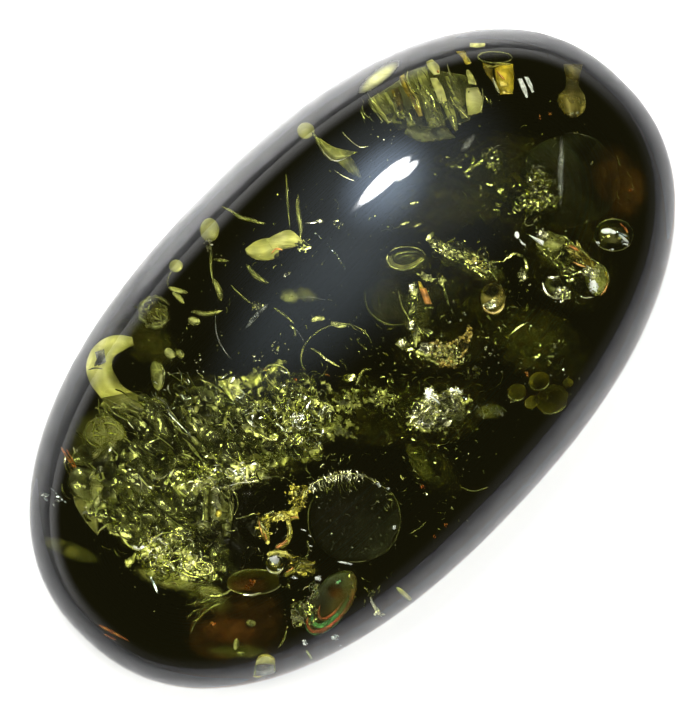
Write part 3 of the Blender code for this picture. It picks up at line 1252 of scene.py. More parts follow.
# The finishes of what is in the stone, as flake_material takes them. Colours run from dark to light.
FINISHES = {
    "crackle": {
        "colours": ((0.05, 0.055, 0.010), (0.50, 0.54, 0.14), (1.0, 1.0, 0.45)),
        "metal": 1.0, "rough": (0.05, 0.28), "grain": 2500.0,
    },
    "pale": {
        "colours": ((0.62, 0.66, 0.26), (1.0, 1.0, 0.55), (1.0, 1.0, 0.85)),
        "metal": 0.8, "rough": (0.05, 0.22), "grain": 2500.0,
    },
    "silver": {
        "colours": ((0.30, 0.33, 0.20), (0.75, 0.80, 0.58), (1.0, 1.0, 0.92)),
        "metal": 0.9, "rough": (0.05, 0.22), "grain": 2500.0,
    },
    "shell": {
        "colours": ((0.09, 0.10, 0.018), (0.28, 0.30, 0.07), (0.60, 0.64, 0.20)),
        "metal": 0.7, "rough": (0.04, 0.18), "grain": 900.0,
        "cover": (0.5, 1.1),
    },
    "foil": {
        "colours": ((0.12, 0.13, 0.025), (0.38, 0.40, 0.09), (0.80, 0.82, 0.28)),
        "metal": 0.5, "rough": (0.08, 0.28), "grain": 900.0,
        "crease": ((0.60, 0.64, 0.24), 1800.0, 0.03, 0.0, 1.0),
    },
    "strands": {
        "colours": ((0.10, 0.11, 0.02), (0.30, 0.32, 0.065), (0.58, 0.61, 0.18)),
        "metal": 0.5, "rough": (0.10, 0.30), "grain": 900.0,
        "crease": ((0.40, 0.43, 0.15), 1900.0, 0.03, -95.0, 5.0),
    },
    "crust": {
        "colours": ((0.22, 0.14, 0.02), (0.70, 0.52, 0.12), (1.0, 0.90, 0.40)),
        "metal": 0.35, "rough": (0.12, 0.35), "grain": 2400.0,
    },
    "gold": {
        "colours": ((0.18, 0.15, 0.01), (0.60, 0.52, 0.06), (1.0, 0.92, 0.26)),
        "metal": 0.6, "rough": (0.1, 0.35), "grain": 1600.0,
        "crease": ((0.50, 0.46, 0.12), 2400.0, 0.04, 0.0, 1.0),
    },
    "petal": {
        "colours": ((0.12, 0.13, 0.015), (0.30, 0.31, 0.055), (0.56, 0.57, 0.15)),
        "metal": 0.15, "rough": (0.2, 0.4), "grain": 700.0,
        "cover": (0.6, 1.1),
        "crease": ((0.22, 0.23, 0.06), 2000.0, 0.05, -112.0, 12.0),
    },
    "yellow": {
        "colours": ((0.22, 0.18, 0.008), (0.58, 0.52, 0.04), (1.0, 0.95, 0.22)),
        "metal": 0.15, "rough": (0.15, 0.35), "grain": 1600.0,
        "cover": (0.9, 1.3),
    },
    "gold_petal": {
        "colours": ((0.15, 0.10, 0.003), (0.42, 0.31, 0.012), (0.85, 0.66, 0.04)),
        "metal": 0.2, "rough": (0.15, 0.35), "grain": 800.0,
        "cover": (0.7, 1.1),
        "crease": ((0.20, 0.14, 0.01), 2000.0, 0.04, -112.0, 10.0),
    },
    "gold_film": {
        "colours": ((0.07, 0.055, 0.008), (0.22, 0.18, 0.03), (0.45, 0.38, 0.09)),
        "metal": 0.5, "rough": (0.2, 0.4), "grain": 1200.0,
        "cover": (0.4, 1.1),
    },
    "film": {
        "colours": ((0.07, 0.075, 0.012), (0.18, 0.19, 0.035), (0.34, 0.36, 0.08)),
        "metal": 0.3, "rough": (0.2, 0.45), "grain": 900.0,
        "crease": ((0.26, 0.29, 0.09), 2400.0, 0.04, -95.0, 3.0),
    },
    "leaf": {
        "colours": ((0.09, 0.10, 0.012), (0.34, 0.36, 0.06), (0.78, 0.80, 0.26)),
        "metal": 0.4, "rough": (0.2, 0.45), "grain": 1500.0,
        "cover": (0.5, 1.1),
        "crease": ((0.25, 0.27, 0.10), 2600.0, 0.04, 0.0, 1.0),
    },
    "cream": {
        "colours": ((0.34, 0.34, 0.05), (0.66, 0.65, 0.16), (0.95, 0.93, 0.38)),
        "metal": 0.1, "rough": (0.3, 0.55), "grain": 700.0,
        "crease": ((0.10, 0.10, 0.05), 1800.0, 0.04, -60.0, 4.0),
    },
    "haze_film": {
        "colours": ((0.20, 0.20, 0.04), (0.30, 0.30, 0.06), (0.42, 0.42, 0.10)),
        "metal": 0.15, "rough": (0.25, 0.45), "grain": 700.0,
        "cover": (0.55, 1.0),
        "crease": ((0.10, 0.10, 0.03), 1800.0, 0.03, -35.0, 5.0),
    },
    "veil": {
        "colours": ((0.012, 0.018, 0.006), (0.030, 0.036, 0.012), (0.06, 0.07, 0.03)),
        "metal": 0.5, "rough": (0.15, 0.3), "grain": 500.0,
        "cover": (0.0, 0.35),
    },
    "haze": {
        "colours": ((0.14, 0.15, 0.03), (0.24, 0.25, 0.05), (0.36, 0.37, 0.10)),
        "metal": 0.2, "rough": (0.3, 0.5), "grain": 900.0,
        "cover": (0.2, 0.95),
        "crease": ((0.10, 0.11, 0.03), 2200.0, 0.04, -60.0, 2.5),
    },
    "amber_chip": {
        "colours": ((0.45, 0.14, 0.02), (0.80, 0.36, 0.07), (0.95, 0.55, 0.16)),
        "metal": 0.2, "rough": (0.2, 0.4), "grain": 1200.0,
    },
    "ember": {
        "colours": ((0.12, 0.02, 0.003), (0.60, 0.17, 0.02), (0.95, 0.50, 0.10)),
        "metal": 0.5, "rough": (0.15, 0.4), "grain": 2500.0,
    },
    "murk": {
        "colours": ((0.003, 0.003, 0.001), (0.006, 0.006, 0.002), (0.012, 0.011, 0.003)),
        "metal": 0.0, "rough": (0.6, 0.8), "grain": 900.0,
        "cover": (0.9, 1.3),
    },
    "rust": {
        "colours": ((0.022, 0.010, 0.002), (0.040, 0.018, 0.003), (0.07, 0.032, 0.006)),
        "metal": 0.1, "rough": (0.4, 0.6), "grain": 500.0,
        "cover": (0.3, 0.9),
    },
    "glow": {
        "colours": ((0.05, 0.018, 0.003), (0.10, 0.036, 0.006), (0.18, 0.075, 0.012)),
        "metal": 0.1, "rough": (0.3, 0.5), "grain": 700.0,
        "cover": (0.2, 0.9),
    },
    "smoke": {
        "colours": ((0.012, 0.012, 0.001), (0.024, 0.023, 0.003), (0.048, 0.046, 0.006)),
        "metal": 0.1, "rough": (0.4, 0.6), "grain": 600.0,
        "cover": (0.4, 1.0),
    },
    "olive": {
        "colours": ((0.05, 0.052, 0.008), (0.09, 0.092, 0.015), (0.16, 0.16, 0.03)),
        "metal": 0.1, "rough": (0.4, 0.6), "grain": 600.0,
        "cover": (0.4, 1.0),
    },
    # Near-white and matt, so that it shows bright under any light: painted highlights
    "glint": {
        "colours": ((0.80, 0.90, 0.80), (0.95, 1.0, 0.95), (1.0, 1.0, 1.0)),
        "metal": 0.1, "rough": (0.2, 0.4), "grain": 2500.0,
    },
    "band_red": {
        "colours": ((0.30, 0.05, 0.015), (0.48, 0.11, 0.025), (0.60, 0.20, 0.05)),
        "metal": 0.2, "rough": (0.2, 0.4), "grain": 1200.0,
        "cover": (0.2, 0.9),
    },
    "band_green": {
        "colours": ((0.05, 0.20, 0.035), (0.09, 0.32, 0.07), (0.17, 0.46, 0.12)),
        "metal": 0.2, "rough": (0.2, 0.4), "grain": 1200.0,
        "cover": (0.2, 0.9),
    },
    "bubble": {
        "colours": ((0.03, 0.035, 0.008), (0.12, 0.12, 0.03), (0.40, 0.38, 0.14)),
        "metal": 1.0, "rough": (0.02, 0.12), "grain": 900.0,
        "cover": (0.5, 1.0),
    },
    "frost": {
        "colours": ((0.30, 0.42, 0.38), (0.75, 0.90, 0.85), (1.0, 1.0, 1.0)),
        "metal": 1.0, "rough": (0.05, 0.22), "grain": 2500.0,
    },
    "grey": {
        "colours": ((0.10, 0.11, 0.10), (0.28, 0.30, 0.27), (0.50, 0.52, 0.48)),
        "metal": 0.3, "rough": (0.3, 0.5), "grain": 2500.0,
        "cover": (0.2, 0.9),
    },
    "coin": {
        "colours": ((0.045, 0.038, 0.002), (0.105, 0.092, 0.004), (0.22, 0.195, 0.015)),
        "metal": 0.05, "rough": (0.45, 0.6), "grain": 1200.0,
        "cover": (0.3, 0.9),
    },
    "opal": {
        "colours": (
            (0.20, 0.19, 0.03), (0.16, 0.24, 0.04), (0.24, 0.21, 0.04), (0.36, 0.15, 0.03),
            (0.20, 0.23, 0.04),
        ),
        "metal": 0.2, "rough": (0.25, 0.4), "grain": 500.0,
        "cover": (0.3, 0.9),
    },
    "spark_green": {
        "colours": ((0.10, 0.45, 0.10), (0.30, 0.85, 0.30), (0.60, 1.0, 0.55)),
        "metal": 0.6, "rough": (0.1, 0.3), "grain": 2500.0,
    },
}


def make_materials():
    stuff = {}
    for name, finish in FINISHES.items():
        stuff[name] = flake_material(name, soft=name in SOFT_STUFF, **finish)
    return stuff


def left_crackle(stuff):
    """The mass of crumpled flakes at the lower left."""
    # The light field paints light and shade into the flakes' colour: bright pools where they catch light, and
    # dark ones that dim them nearly to black.
    area = Region("left_crackle", stuff, 11, pools(1.45, {
        "left side": ((122, 500), (60, 62), -40, 0.8),
        "lower side": ((170, 548), (60, 30), -20, 0.5),
        "bright band": ((218, 478), (48, 12), 13, 1.2),
        "lower crumple": ((172, 552), (32, 20), -20, 0.8),
        "glint corner": ((136, 543), (14, 9), -20, 0.8),
        "right crinkles": ((298, 416), (24, 26), 20, 0.5),
        "upper flake": ((236, 388), (9, 14), -30, 0.8),
        "ridged band": ((255, 408), (15, 7), 25, 0.8),
        "low ring": ((198, 567), (18, 9), 5, 0.9),
        "left piece": ((130, 456), (14, 9), 20, 0.7),
        "dark gap": ((150, 436), (26, 22), -40, -0.4),
        "upper gap": ((208, 414), (24, 16), -20, -0.4),
        "lower gap": ((205, 537), (20, 9), -10, -0.9),
        "dark disc": ((275, 499), (22, 17), 0, -2.6),
        "dark block": ((246, 503), (16, 17), 0, -2.6),
        "lower dark block": ((243, 546), (19, 26), 0, -2.6),
        "arch's inside": ((213, 505), (20, 22), 0, -0.9),
        "past the edge": ((120, 590), (50, 24), -35, -2.0),
    }))
    area.sheets("foil", {
        "bright band": ((212, 481), (52, 14), 13, 16, 0.38),
        "band's right": ((243, 475), (22, 9), 8, 11, 0.35),
        "lower crumple": ((172, 550), (36, 25), -20, 18, 0.42),
        "right crinkles": ((298, 414), (32, 34), 20, 22, 0.45),
        "upper flake": ((232, 388), (14, 9), -45, 16, 0.35),
        "ridged band": ((255, 408), (15, 6), 25, 12, 0.45),
        "rim side": ((118, 520), (30, 16), -35, 24, 0.38),
        "low flake": ((200, 566), (20, 11), 5, 13, 0.42),
        "left piece": ((130, 456), (13, 7), 20, 13, 0.35),
        "left flake": ((150, 498), (26, 12), -50, 20, 0.35),
        "left flake 2": ((176, 520), (24, 10), -35, 19, 0.35),
        "upper left flake": ((176, 440), (26, 10), -45, 19, 0.35),
        "upper right flake": ((254, 436), (26, 12), -20, 20, 0.35),
        "upper middle flake": ((206, 410), (22, 9), -40, 20, 0.35),
    }, (34, 20, 12), 0.4, 0.40, 1.9)
    area.sheets("strands", {
        "middle strip": ((212, 450), (58, 16), -15, 30, 0.35),
        "left strip": ((140, 474), (34, 22), -40, 30, 0.35),
        "lower strip": ((215, 522), (40, 18), -30, 32, 0.35),
        "upper strip": ((268, 380), (26, 15), 10, 30, 0.35),
    }, (34, 18), 0.4, 0.40, 2.1, form=swells)
    area.patches("haze", {
        "ground 1": ((145, 475), (90, 56), -35, 46),
        "ground 3": ((175, 535), (85, 38), -25, 48),
    }, 3.2)
    area.patches("olive", {"ground 2": ((225, 430), (110, 60), -5, 52)}, 3.2)
    area.patches("haze", {
        "olive patch 1": ((135, 500), (34, 18), 60, 26),
        "olive patch 2": ((190, 520), (32, 16), -30, 24),
        "olive patch 3": ((258, 452), (36, 15), 20, 28),
        "olive patch 4": ((168, 452), (34, 14), -35, 27),
        "olive patch 5": ((100, 492), (24, 14), -50, 24),
        "olive patch 6": ((215, 545), (28, 14), 10, 24),
        "olive patch 7": ((210, 425), (40, 14), -30, 30),
        "olive patch 8": ((165, 578), (34, 11), -15, 24),
        "olive patch 9": ((122, 470), (26, 15), -50, 24),
        "olive patch 10": ((285, 440), (30, 18), 40, 28),
    })
    area.sheets("strands", {
        "back 1": ((165, 440), (54, 30), -25, 40, 0.4),
        "back 2": ((225, 430), (60, 30), 0, 44, 0.4),
        "back 3": ((180, 510), (70, 40), -20, 42, 0.4),
        "back 5": ((285, 445), (40, 20), 10, 42, 0.4),
    }, (40, 24), 0.4, 0.40, 2.6, form=swells)
    area.plates("leaf", {
        "middle leaf": ((188, 436), (194, 436), (216, 459), (205, 458), 12, 0.55, 1.1),
        "small leaf": ((199, 389), (205, 390), (209, 398), (203, 397), 12, 0.7, 0.9),
        "flake leaf": ((218, 381), (226, 379), (234, 402), (228, 396), 12, 0.8, 1.0),
    }, 0.2, 0.25)
    area.shells("shell", {
        "upper": ((215, 420), (75, 34), -10, 80, (3, 8), (12, 26)),
        "left": ((130, 490), (60, 44), -40, 120, (3.5, 11), (10, 26)),
        "middle": ((190, 462), (80, 34), -30, 80, (3.5, 11), (12, 26)),
        "lower": ((180, 535), (70, 32), -20, 80, (3.5, 9), (10, 24)),
        "right": ((290, 415), (38, 42), 20, 50, (2, 6), (10, 24)),
    }, -42)
    area.curls("leaf", {
        "long lines": ((185, 450), (84, 44), -30, 46, (18, 60), (8, 22)),
    }, (0.35, 0.8), (18, 50), -42, 12)
    area.blades("crackle", {
        "bright band": ((212, 480), (60, 18), 13, 90, (2, 8), (8, 18), 10),
        "lower crumple": ((172, 548), (40, 27), -20, 90, (2, 7), (8, 20), None),
        "middle": ((200, 450), (95, 40), -20, 80, (4, 14), (12, 30), -42),
        "right crinkles": ((298, 414), (36, 42), 20, 120, (2, 9), (10, 24), 60),
        "left": ((125, 490), (60, 50), -40, 60, (4, 14), (12, 30), -44),
        "long lines": ((180, 455), (110, 60), -30, 34, (8, 22), (10, 26), -42),
    }, (0.04, 0.16))
    area.blades("pale", {
        "bright band": ((225, 478), (45, 14), 13, 60, (1.5, 6), (6, 14), 10),
        "lower crumple": ((172, 550), (32, 20), -20, 60, (1.5, 5), (6, 14), None),
        "everywhere": ((170, 490), (115, 76), -25, 60, (1.5, 5), (8, 22), -40),
    }, (0.1, 0.35), 0.25, 0.8)
    area.blades("silver", {
        "right crinkles": ((298, 416), (30, 36), 20, 46, (1.5, 6), (8, 16), 60),
        "white patch": ((297, 417), (9, 5), 10, 26, (1.5, 5), (6, 10), 10),
        "upper": ((210, 400), (70, 34), -10, 40, (1, 4), (8, 22), -40),
        "band's white patch": ((241, 473), (9, 5), 10, 22, (1.5, 5), (6, 10), 10),
    }, (0.12, 0.35), 0.25, 0.7)
    area.curls("crackle", {
        "middle": ((190, 450), (90, 44), -25, 110, (5, 22), (8, 30)),
        "left": ((120, 500), (62, 44), -40, 50, (5, 22), (8, 30)),
    }, (0.4, 0.9), (30, 110), -42)
    area.curls("crackle", {
        "all over": ((175, 490), (115, 70), -25, 90, (4, 16), (8, 30)),
        "lower crumple": ((172, 548), (38, 27), -20, 150, (3, 10), (7, 20)),
        "bright band": ((212, 480), (56, 16), 13, 90, (3, 10), (7, 20)),
        "right crinkles": ((298, 414), (36, 42), 20, 120, (4, 12), (8, 24)),
    })
    area.curls("pale", {
        "all over": ((190, 500), (110, 70), -25, 60, (3, 12), (6, 22)),
        "lower crumple": ((172, 550), (32, 22), -20, 40, (3, 9), (6, 14)),
    }, (0.35, 0.7))
    area.curls("silver", {
        "right crinkles": ((298, 414), (32, 38), 20, 50, (3, 11), (7, 18)),
        "upper": ((205, 405), (70, 32), -10, 60, (4, 14), (8, 22)),
    }, (0.35, 0.7), (30, 110), -40)
    area.threads("silver", 8, {
        "flake's white edge": (1.6, (235, 376), (232, 381), (230, 384)),
        "curved strand": (1.0, (240, 389), (244, 394), (240, 398), (236, 395)),
        "strand below": (1.3, (275, 423), (280, 426), (285, 432)),
        "upper curl": (1.0, (279, 369), (284, 372), (288, 373)),
        "band's glint": (1.5, (248, 419), (251, 422), (254, 424)),
        "long line": (0.5, (168, 413), (176, 421), (185, 430), (192, 437)),
        "hook": (1.2, (181, 394), (185, 399), (191, 398)),
    })
    area.threads("crackle", 9, {
        "bright ring": (1.5, (259, 434), (266, 438), (274, 440), (278, 436), (273, 434)),
        "upper loop": (1.2, (263, 372), (268, 366), (278, 365), (287, 370), (290, 378)),
        "loop's foot": (1.0, (265, 374), (270, 382), (280, 390)),
    })
    area.beads("silver", (7, 11), (1.0, 2.4), {
        "ridges": (16, (242, 413), (250, 407), (258, 404), (268, 410)),
        "ridges 2": (12, (246, 415), (256, 410), (266, 413)),
    })
    area.bits("ember", (6, 9), (0.8, 1.8), {
        "red dot 1": ((265.4, 369), (2, 1.5), 0, 4),
        "red dot 2": ((295, 379), (2, 1), 0, 3),
        "red dot 3": ((326.6, 374.5), (2.4, 1), -30, 4),
    })
    area.strips("leaf", {
        "leaf over the glint": (
            ((120, 531), (129, 531), (140, 536), (151, 548)),
            ((121, 537), (128, 546), (139, 551), (150, 554)),
            9, 1.2, 1.0,
        ),
    }, 0.1, 0.3)
    area.threads("pale", 6, {"band's lower edge": (1.0, (229, 486), (238, 483), (248, 482), (258, 480.5))})
    area.threads("silver", 7, {"white glint": (2.6, (131, 545), (138, 548), (146, 546))})
    area.arcs("crackle", 8, {
        "low ring": (1.2, (198, 567), (15, 8), -8, 150, 400),
        "low ring's inner line": (0.9, (203, 566), (8, 4), -8, 20, 330),
        "low ring's outer line": (0.7, (196, 567), (19, 10), -8, 190, 320),
        "crumple's curve 1": (0.5, (166, 548), (18, 15), 20, 20, 170),
        "crumple's curve 2": (0.5, (170, 552), (12, 10), 0, 200, 340),
    })
    area.make()


def left_edge(stuff):
    """The pale crescent near the left side, with the leaves and streaks round it."""
    area = Region("left_edge", stuff, 12)
    area.strips("cream", {
        "crescent": (
            ((132, 337), (119, 335), (105, 338), (92, 349), (86, 366), (90, 383), (101, 398)),
            ((134, 345), (124, 350), (114, 357), (112, 366), (116, 376), (123, 386), (132, 392)),
            16, 0.85, 1.1,
        ),
    }, 0.16, 0.35)
    area.strips("haze_film", {
        "tail": (
            ((101, 398), (112, 410), (128, 421), (146, 424), (164, 417)),
            ((131, 391), (140, 396), (150, 402), (160, 407), (168, 411)), 21, 0.9, 0.7,
        ),
        "left leaf": (
            ((72, 492), (76, 506), (86, 522), (98, 536)), ((76, 490), (90, 497), (97, 512), (99, 533)), 20,
            0.8, 0.6,
        ),
    }, 0.12, 0.3)
    area.plates("petal", {
        "tail's shade": ((110, 400), (150, 404), (172, 424), (140, 428), 28, 0.35, 0.2),
    }, 0.25, 0.25)
    area.plates(
        "grey", {"grey patch": ((95, 352), (104, 349), (106, 362), (98, 366), 10, 0.5, 0.4)}, 0.1, 0.1,
    )
    area.leaves("murk", 7, {
        "slit": ((97, 361), 6.0, 1.8, 65),
    }, flat=0.1)
    area.threads("murk", 7, {"crack": (0.7, (88, 370), (95, 368), (103, 369))})
    area.threads("leaf", 22, {
        "tail 1": (1.0, (104, 398), (122, 407), (141, 414), (158, 418)),
        "tail 2": (0.8, (112, 405), (128, 415), (146, 421)),
        "tail 3": (1.0, (120, 397), (138, 402), (156, 410)),
        "oval leaf's edge": (1.3, (160, 362), (164, 374), (162, 388)),
    }, flat=0.3)
    area.leaves("film", 26, {"oval leaf": ((156, 376), 15, 7, -82)})
    area.discs("haze", {"olive disc": ((105, 435), (20, 18), 10, 12, (0.05, 0.1))}, 0.3, 0.0)
    area.patches("haze", {
        "upright band": ((100, 478), (28, 11), 84, 10),
        "band's neck": ((103, 456), (10, 12), 80, 10),
        "olive disc's body": ((104, 436), (22, 20), 0, 16),
    }, 1.8)
    area.patches("olive", {"rim leaf": ((70, 550), (34, 9), -20, 18)}, 1.8)
    area.shells("shell", {"upright band": ((101, 480), (22, 9), 84, 16, (3, 8), (8, 14))}, 70)
    area.arcs("leaf", 8, {
        "olive disc's rim": (0.5, (104, 432), (19, 15.5), 10, 60, 250),
        "olive disc's line": (0.4, (106, 433), (13, 10), 10, 20, 200),
    })
    area.blades("leaf", {
        "olive disc's streaks": ((106, 434), (15, 12), 10, 14, (3, 9), (14, 22), 5),
        "haze under the crescent": ((130, 407), (30, 9), -25, 14, (4, 12), (14, 20), -25),
    }, (0.08, 0.2), 0.2, 0.3)
    area.leaves("leaf", 10, {
        "eye 1": ((171, 352), 6.0, 4.8, -40),
        "eye 2": ((180, 354), 5.0, 4.0, -40),
    }, flat=0.5)
    area.leaves("crackle", 12, {"small bright": ((130, 456), 11, 6, 25)}, flat=0.5)
    area.patches("smoke", {"brown haze": ((146, 340), (42, 24), -30, 34)})
    area.threads("ember", 16, {
        "rim streak 1": (1.3, (61, 447), (66, 455), (74, 468)),
        "rim streak 2": (0.9, (66, 449), (72, 459), (77, 470)),
        "lower smear 1": (1.6, (99, 625), (112, 632), (129, 641)),
        "lower smear 2": (1.0, (104, 634), (116, 640)),
    })
    area.blades(
        "frost", {"rim glints": ((54, 498), (14, 8), -30, 12, (1.5, 4), (8, 16), -35)}, (0.2, 0.5), 0.3, 0.5,
    )
    area.threads("frost", 10, {"feather": (1.6, (150, 576), (154, 584), (158, 594))})
    area.bits("pale", (8, 18), (0.8, 2.0), {
        "white clump": ((159, 414), (8, 5), -20, 16),
        "clump 2": ((185, 397), (5, 4), 0, 10),
        "clump 3": ((191, 411), (5, 4), 0, 10),
        "dot row": ((197, 362), (5, 9), 0, 8),
    })
    area.threads("grey", 16, {"long line": (0.7, (160, 416), (172, 424), (188, 432))})
    area.make()


def upper_left(stuff):
    """Leaves, drops and threads in the clear part at the upper left."""
    area = Region("upper_left", stuff, 13)
    area.balls("haze_film", 18, {
        "knob at the rim": ((305.8, 130.7), (8.8, 8.4), 0),
        "drop": ((209.5, 230), (9.6, 12), 0),
        "pale drop": ((176, 266), (7, 6.5), 0),
    }, squash=0.5)
    area.threads("leaf", 14, {
        "stalk": (1.6, (312, 132), (316, 138), (320, 148)),
        "squiggle": (2.0, (221, 206), (233, 212), (240, 217), (252, 220), (258, 222.5), (266, 223.5)),
        "rod": (2.5, (298.4, 194), (297.6, 205), (299, 216), (301, 229), (299, 240)),
        "line": (1.2, (286, 174), (287, 192), (288, 209), (290, 228)),
        "sliver": (2.9, (246, 264), (256, 276), (269, 283.5)),
        "drop's thread": (1.5, (210, 242), (211, 254), (211, 268), (213, 280)),
        "lower leaf": (3.4, (213, 278), (219, 291), (221, 301)),
        "needle": (1.0, (231, 285), (243, 297), (255, 306)),
        "dim band": (2.6, (192, 311), (205, 314), (222, 311)),
        "stick": (1.3, (273, 307), (283, 314), (294, 323)),
        "pale drop's tail": (0.8, (172, 271), (168, 278), (167.5, 286)),
    })
    area.leaves("leaf", 15, {
        "leaf arc": ((178, 290), 10, 2.6, -15),
        "leaf arc 2": ((178, 298), 8, 2.6, -45),
        "short leaf": ((318, 320), 7.5, 2.8, 8),
        "bright oval": ((339, 324), 8, 3.2, -8),
        "mid leaf": ((194, 320), 6, 4.6, -10),
        "dim branch": ((221, 260), 8, 1.6, -5),
    })
    area.strips("cream", {
        "yellow leaf": (
            ((245, 249), (256, 241), (268, 238), (278, 240)),
            ((247, 254), (258, 260), (270, 260), (279, 256)),
            12, 0.85, 1.1,
        ),
        "yellow leaf's hip": (
            ((266, 240), (278, 233), (290, 230), (301, 238)),
            ((274, 252), (285, 249), (294, 247), (303, 243)),
            11, 0.8, 1.05,
        ),
    }, 0.12, 0.3)
    area.strips("petal", {
        "brown leaf": (
            ((315, 137), (322, 152), (332, 161), (344, 159)),
            ((320, 138), (332, 146), (346, 150), (358, 152)),
            15, 0.8, 1.0,
        ),
        "lower half": (
            ((336, 161), (344, 168), (352, 174), (360, 178)),
            ((345, 151), (352, 158), (358, 168), (362, 178)),
            17, 0.7, 0.5,
        ),
    }, 0.12, 0.3)
    area.leaves("murk", 5, {"notch": ((279, 255), 5.5, 3.4, 25)})
    area.threads("ember", 6, {"notch's edge": (0.9, (271, 254), (276, 249), (283, 250))})
    area.sheets("crackle", {
        "knob": ((303, 245), (8, 6), -20, 12, 0.6),
        "needle's knot": ((257, 306), (6, 4), -10, 12, 0.6),
    }, (8, 5), 0.3, 0.3, 1.2)
    area.threads("pale", 8, {
        "brown leaf's edge": (0.7, (318, 143), (326, 155), (336, 161), (348, 157)),
        "bright dash": (2.2, (315, 222), (320, 221), (324, 222)),
        "dash's tail": (0.8, (305, 223), (312, 223), (318, 222)),
        "leaf's lower line": (0.4, (334, 170), (343, 176), (354, 181)),
        "upper needle": (0.5, (342, 132), (350, 140), (360, 147), (369, 146)),
    })
    area.bits("pale", (6, 12), (0.8, 2.4), {
        "green-white blob": ((338, 224), (5, 4), -30, 14),
        "drop's tangle": ((208, 245), (4, 6), 0, 12),
        "white clump": ((276, 348), (4, 7), 0, 16),
        "yellow dots": ((286, 275), (4, 4), 30, 6),
        "small clump": ((257, 357), (6, 4), 0, 10),
    })
    area.beads("frost", (6, 10), (0.9, 1.9), {
        "bead string": (16, (328, 246), (335, 253), (341, 262), (345, 269)),
        "bead string's head": (4, (316, 233), (321, 238)),
    })
    area.threads("grey", 10, {
        "feather": (2.4, (268, 304), (257, 315), (246, 328)),
        "thin thread": (0.7, (215.5, 314), (216, 331), (220, 343), (226, 353), (232, 360)),
        "cobweb": (0.6, (296, 298), (310, 297), (326, 300)),
        "faint tail": (0.6, (294, 327), (300, 335), (306, 345)),
    })
    area.patches("haze", {"haze 1": ((289, 296), (11, 8), -20, 16)}, 1.3)
    area.patches("olive", {"haze 2": ((305, 294), (16, 8), -20, 18)}, 1.6)
    area.arcs("leaf", 13, {
        "yellow arc": (1.0, (332, 351), (33, 24), 30, 60, 190),
        "dim arc": (0.7, (340, 350), (32, 26), 10, 10, 95),
    })
    area.threads("crackle", 12, {
        "yellow blade 1": (1.8, (310, 348), (318, 352), (327, 360), (340, 367)),
        "piece 1": (1.6, (289, 325), (294, 329), (296, 337)),
    })
    area.patches("olive", {"crumpled ring's ground": ((152, 318), (20, 18), 0, 26)}, 1.8)
    area.arcs("film", 14, {
        "crumpled ring": (2.6, (155, 312), (15, 15), 0, 20, 330),
        "inner ring": (1.8, (157, 313), (9, 11), 30, 100, 400),
    }, wobble=0.5)
    area.blades(
        "leaf", {"crumpled ring": ((154, 314), (15, 14), 20, 30, (3, 8), (8, 16), -30)}, (0.08, 0.2), 0.2,
        0.4,
    )
    area.bits("pale", (7, 12), (0.8, 2.0), {"ring's glint": ((151, 301), (3, 2), 0, 4)})
    area.make()


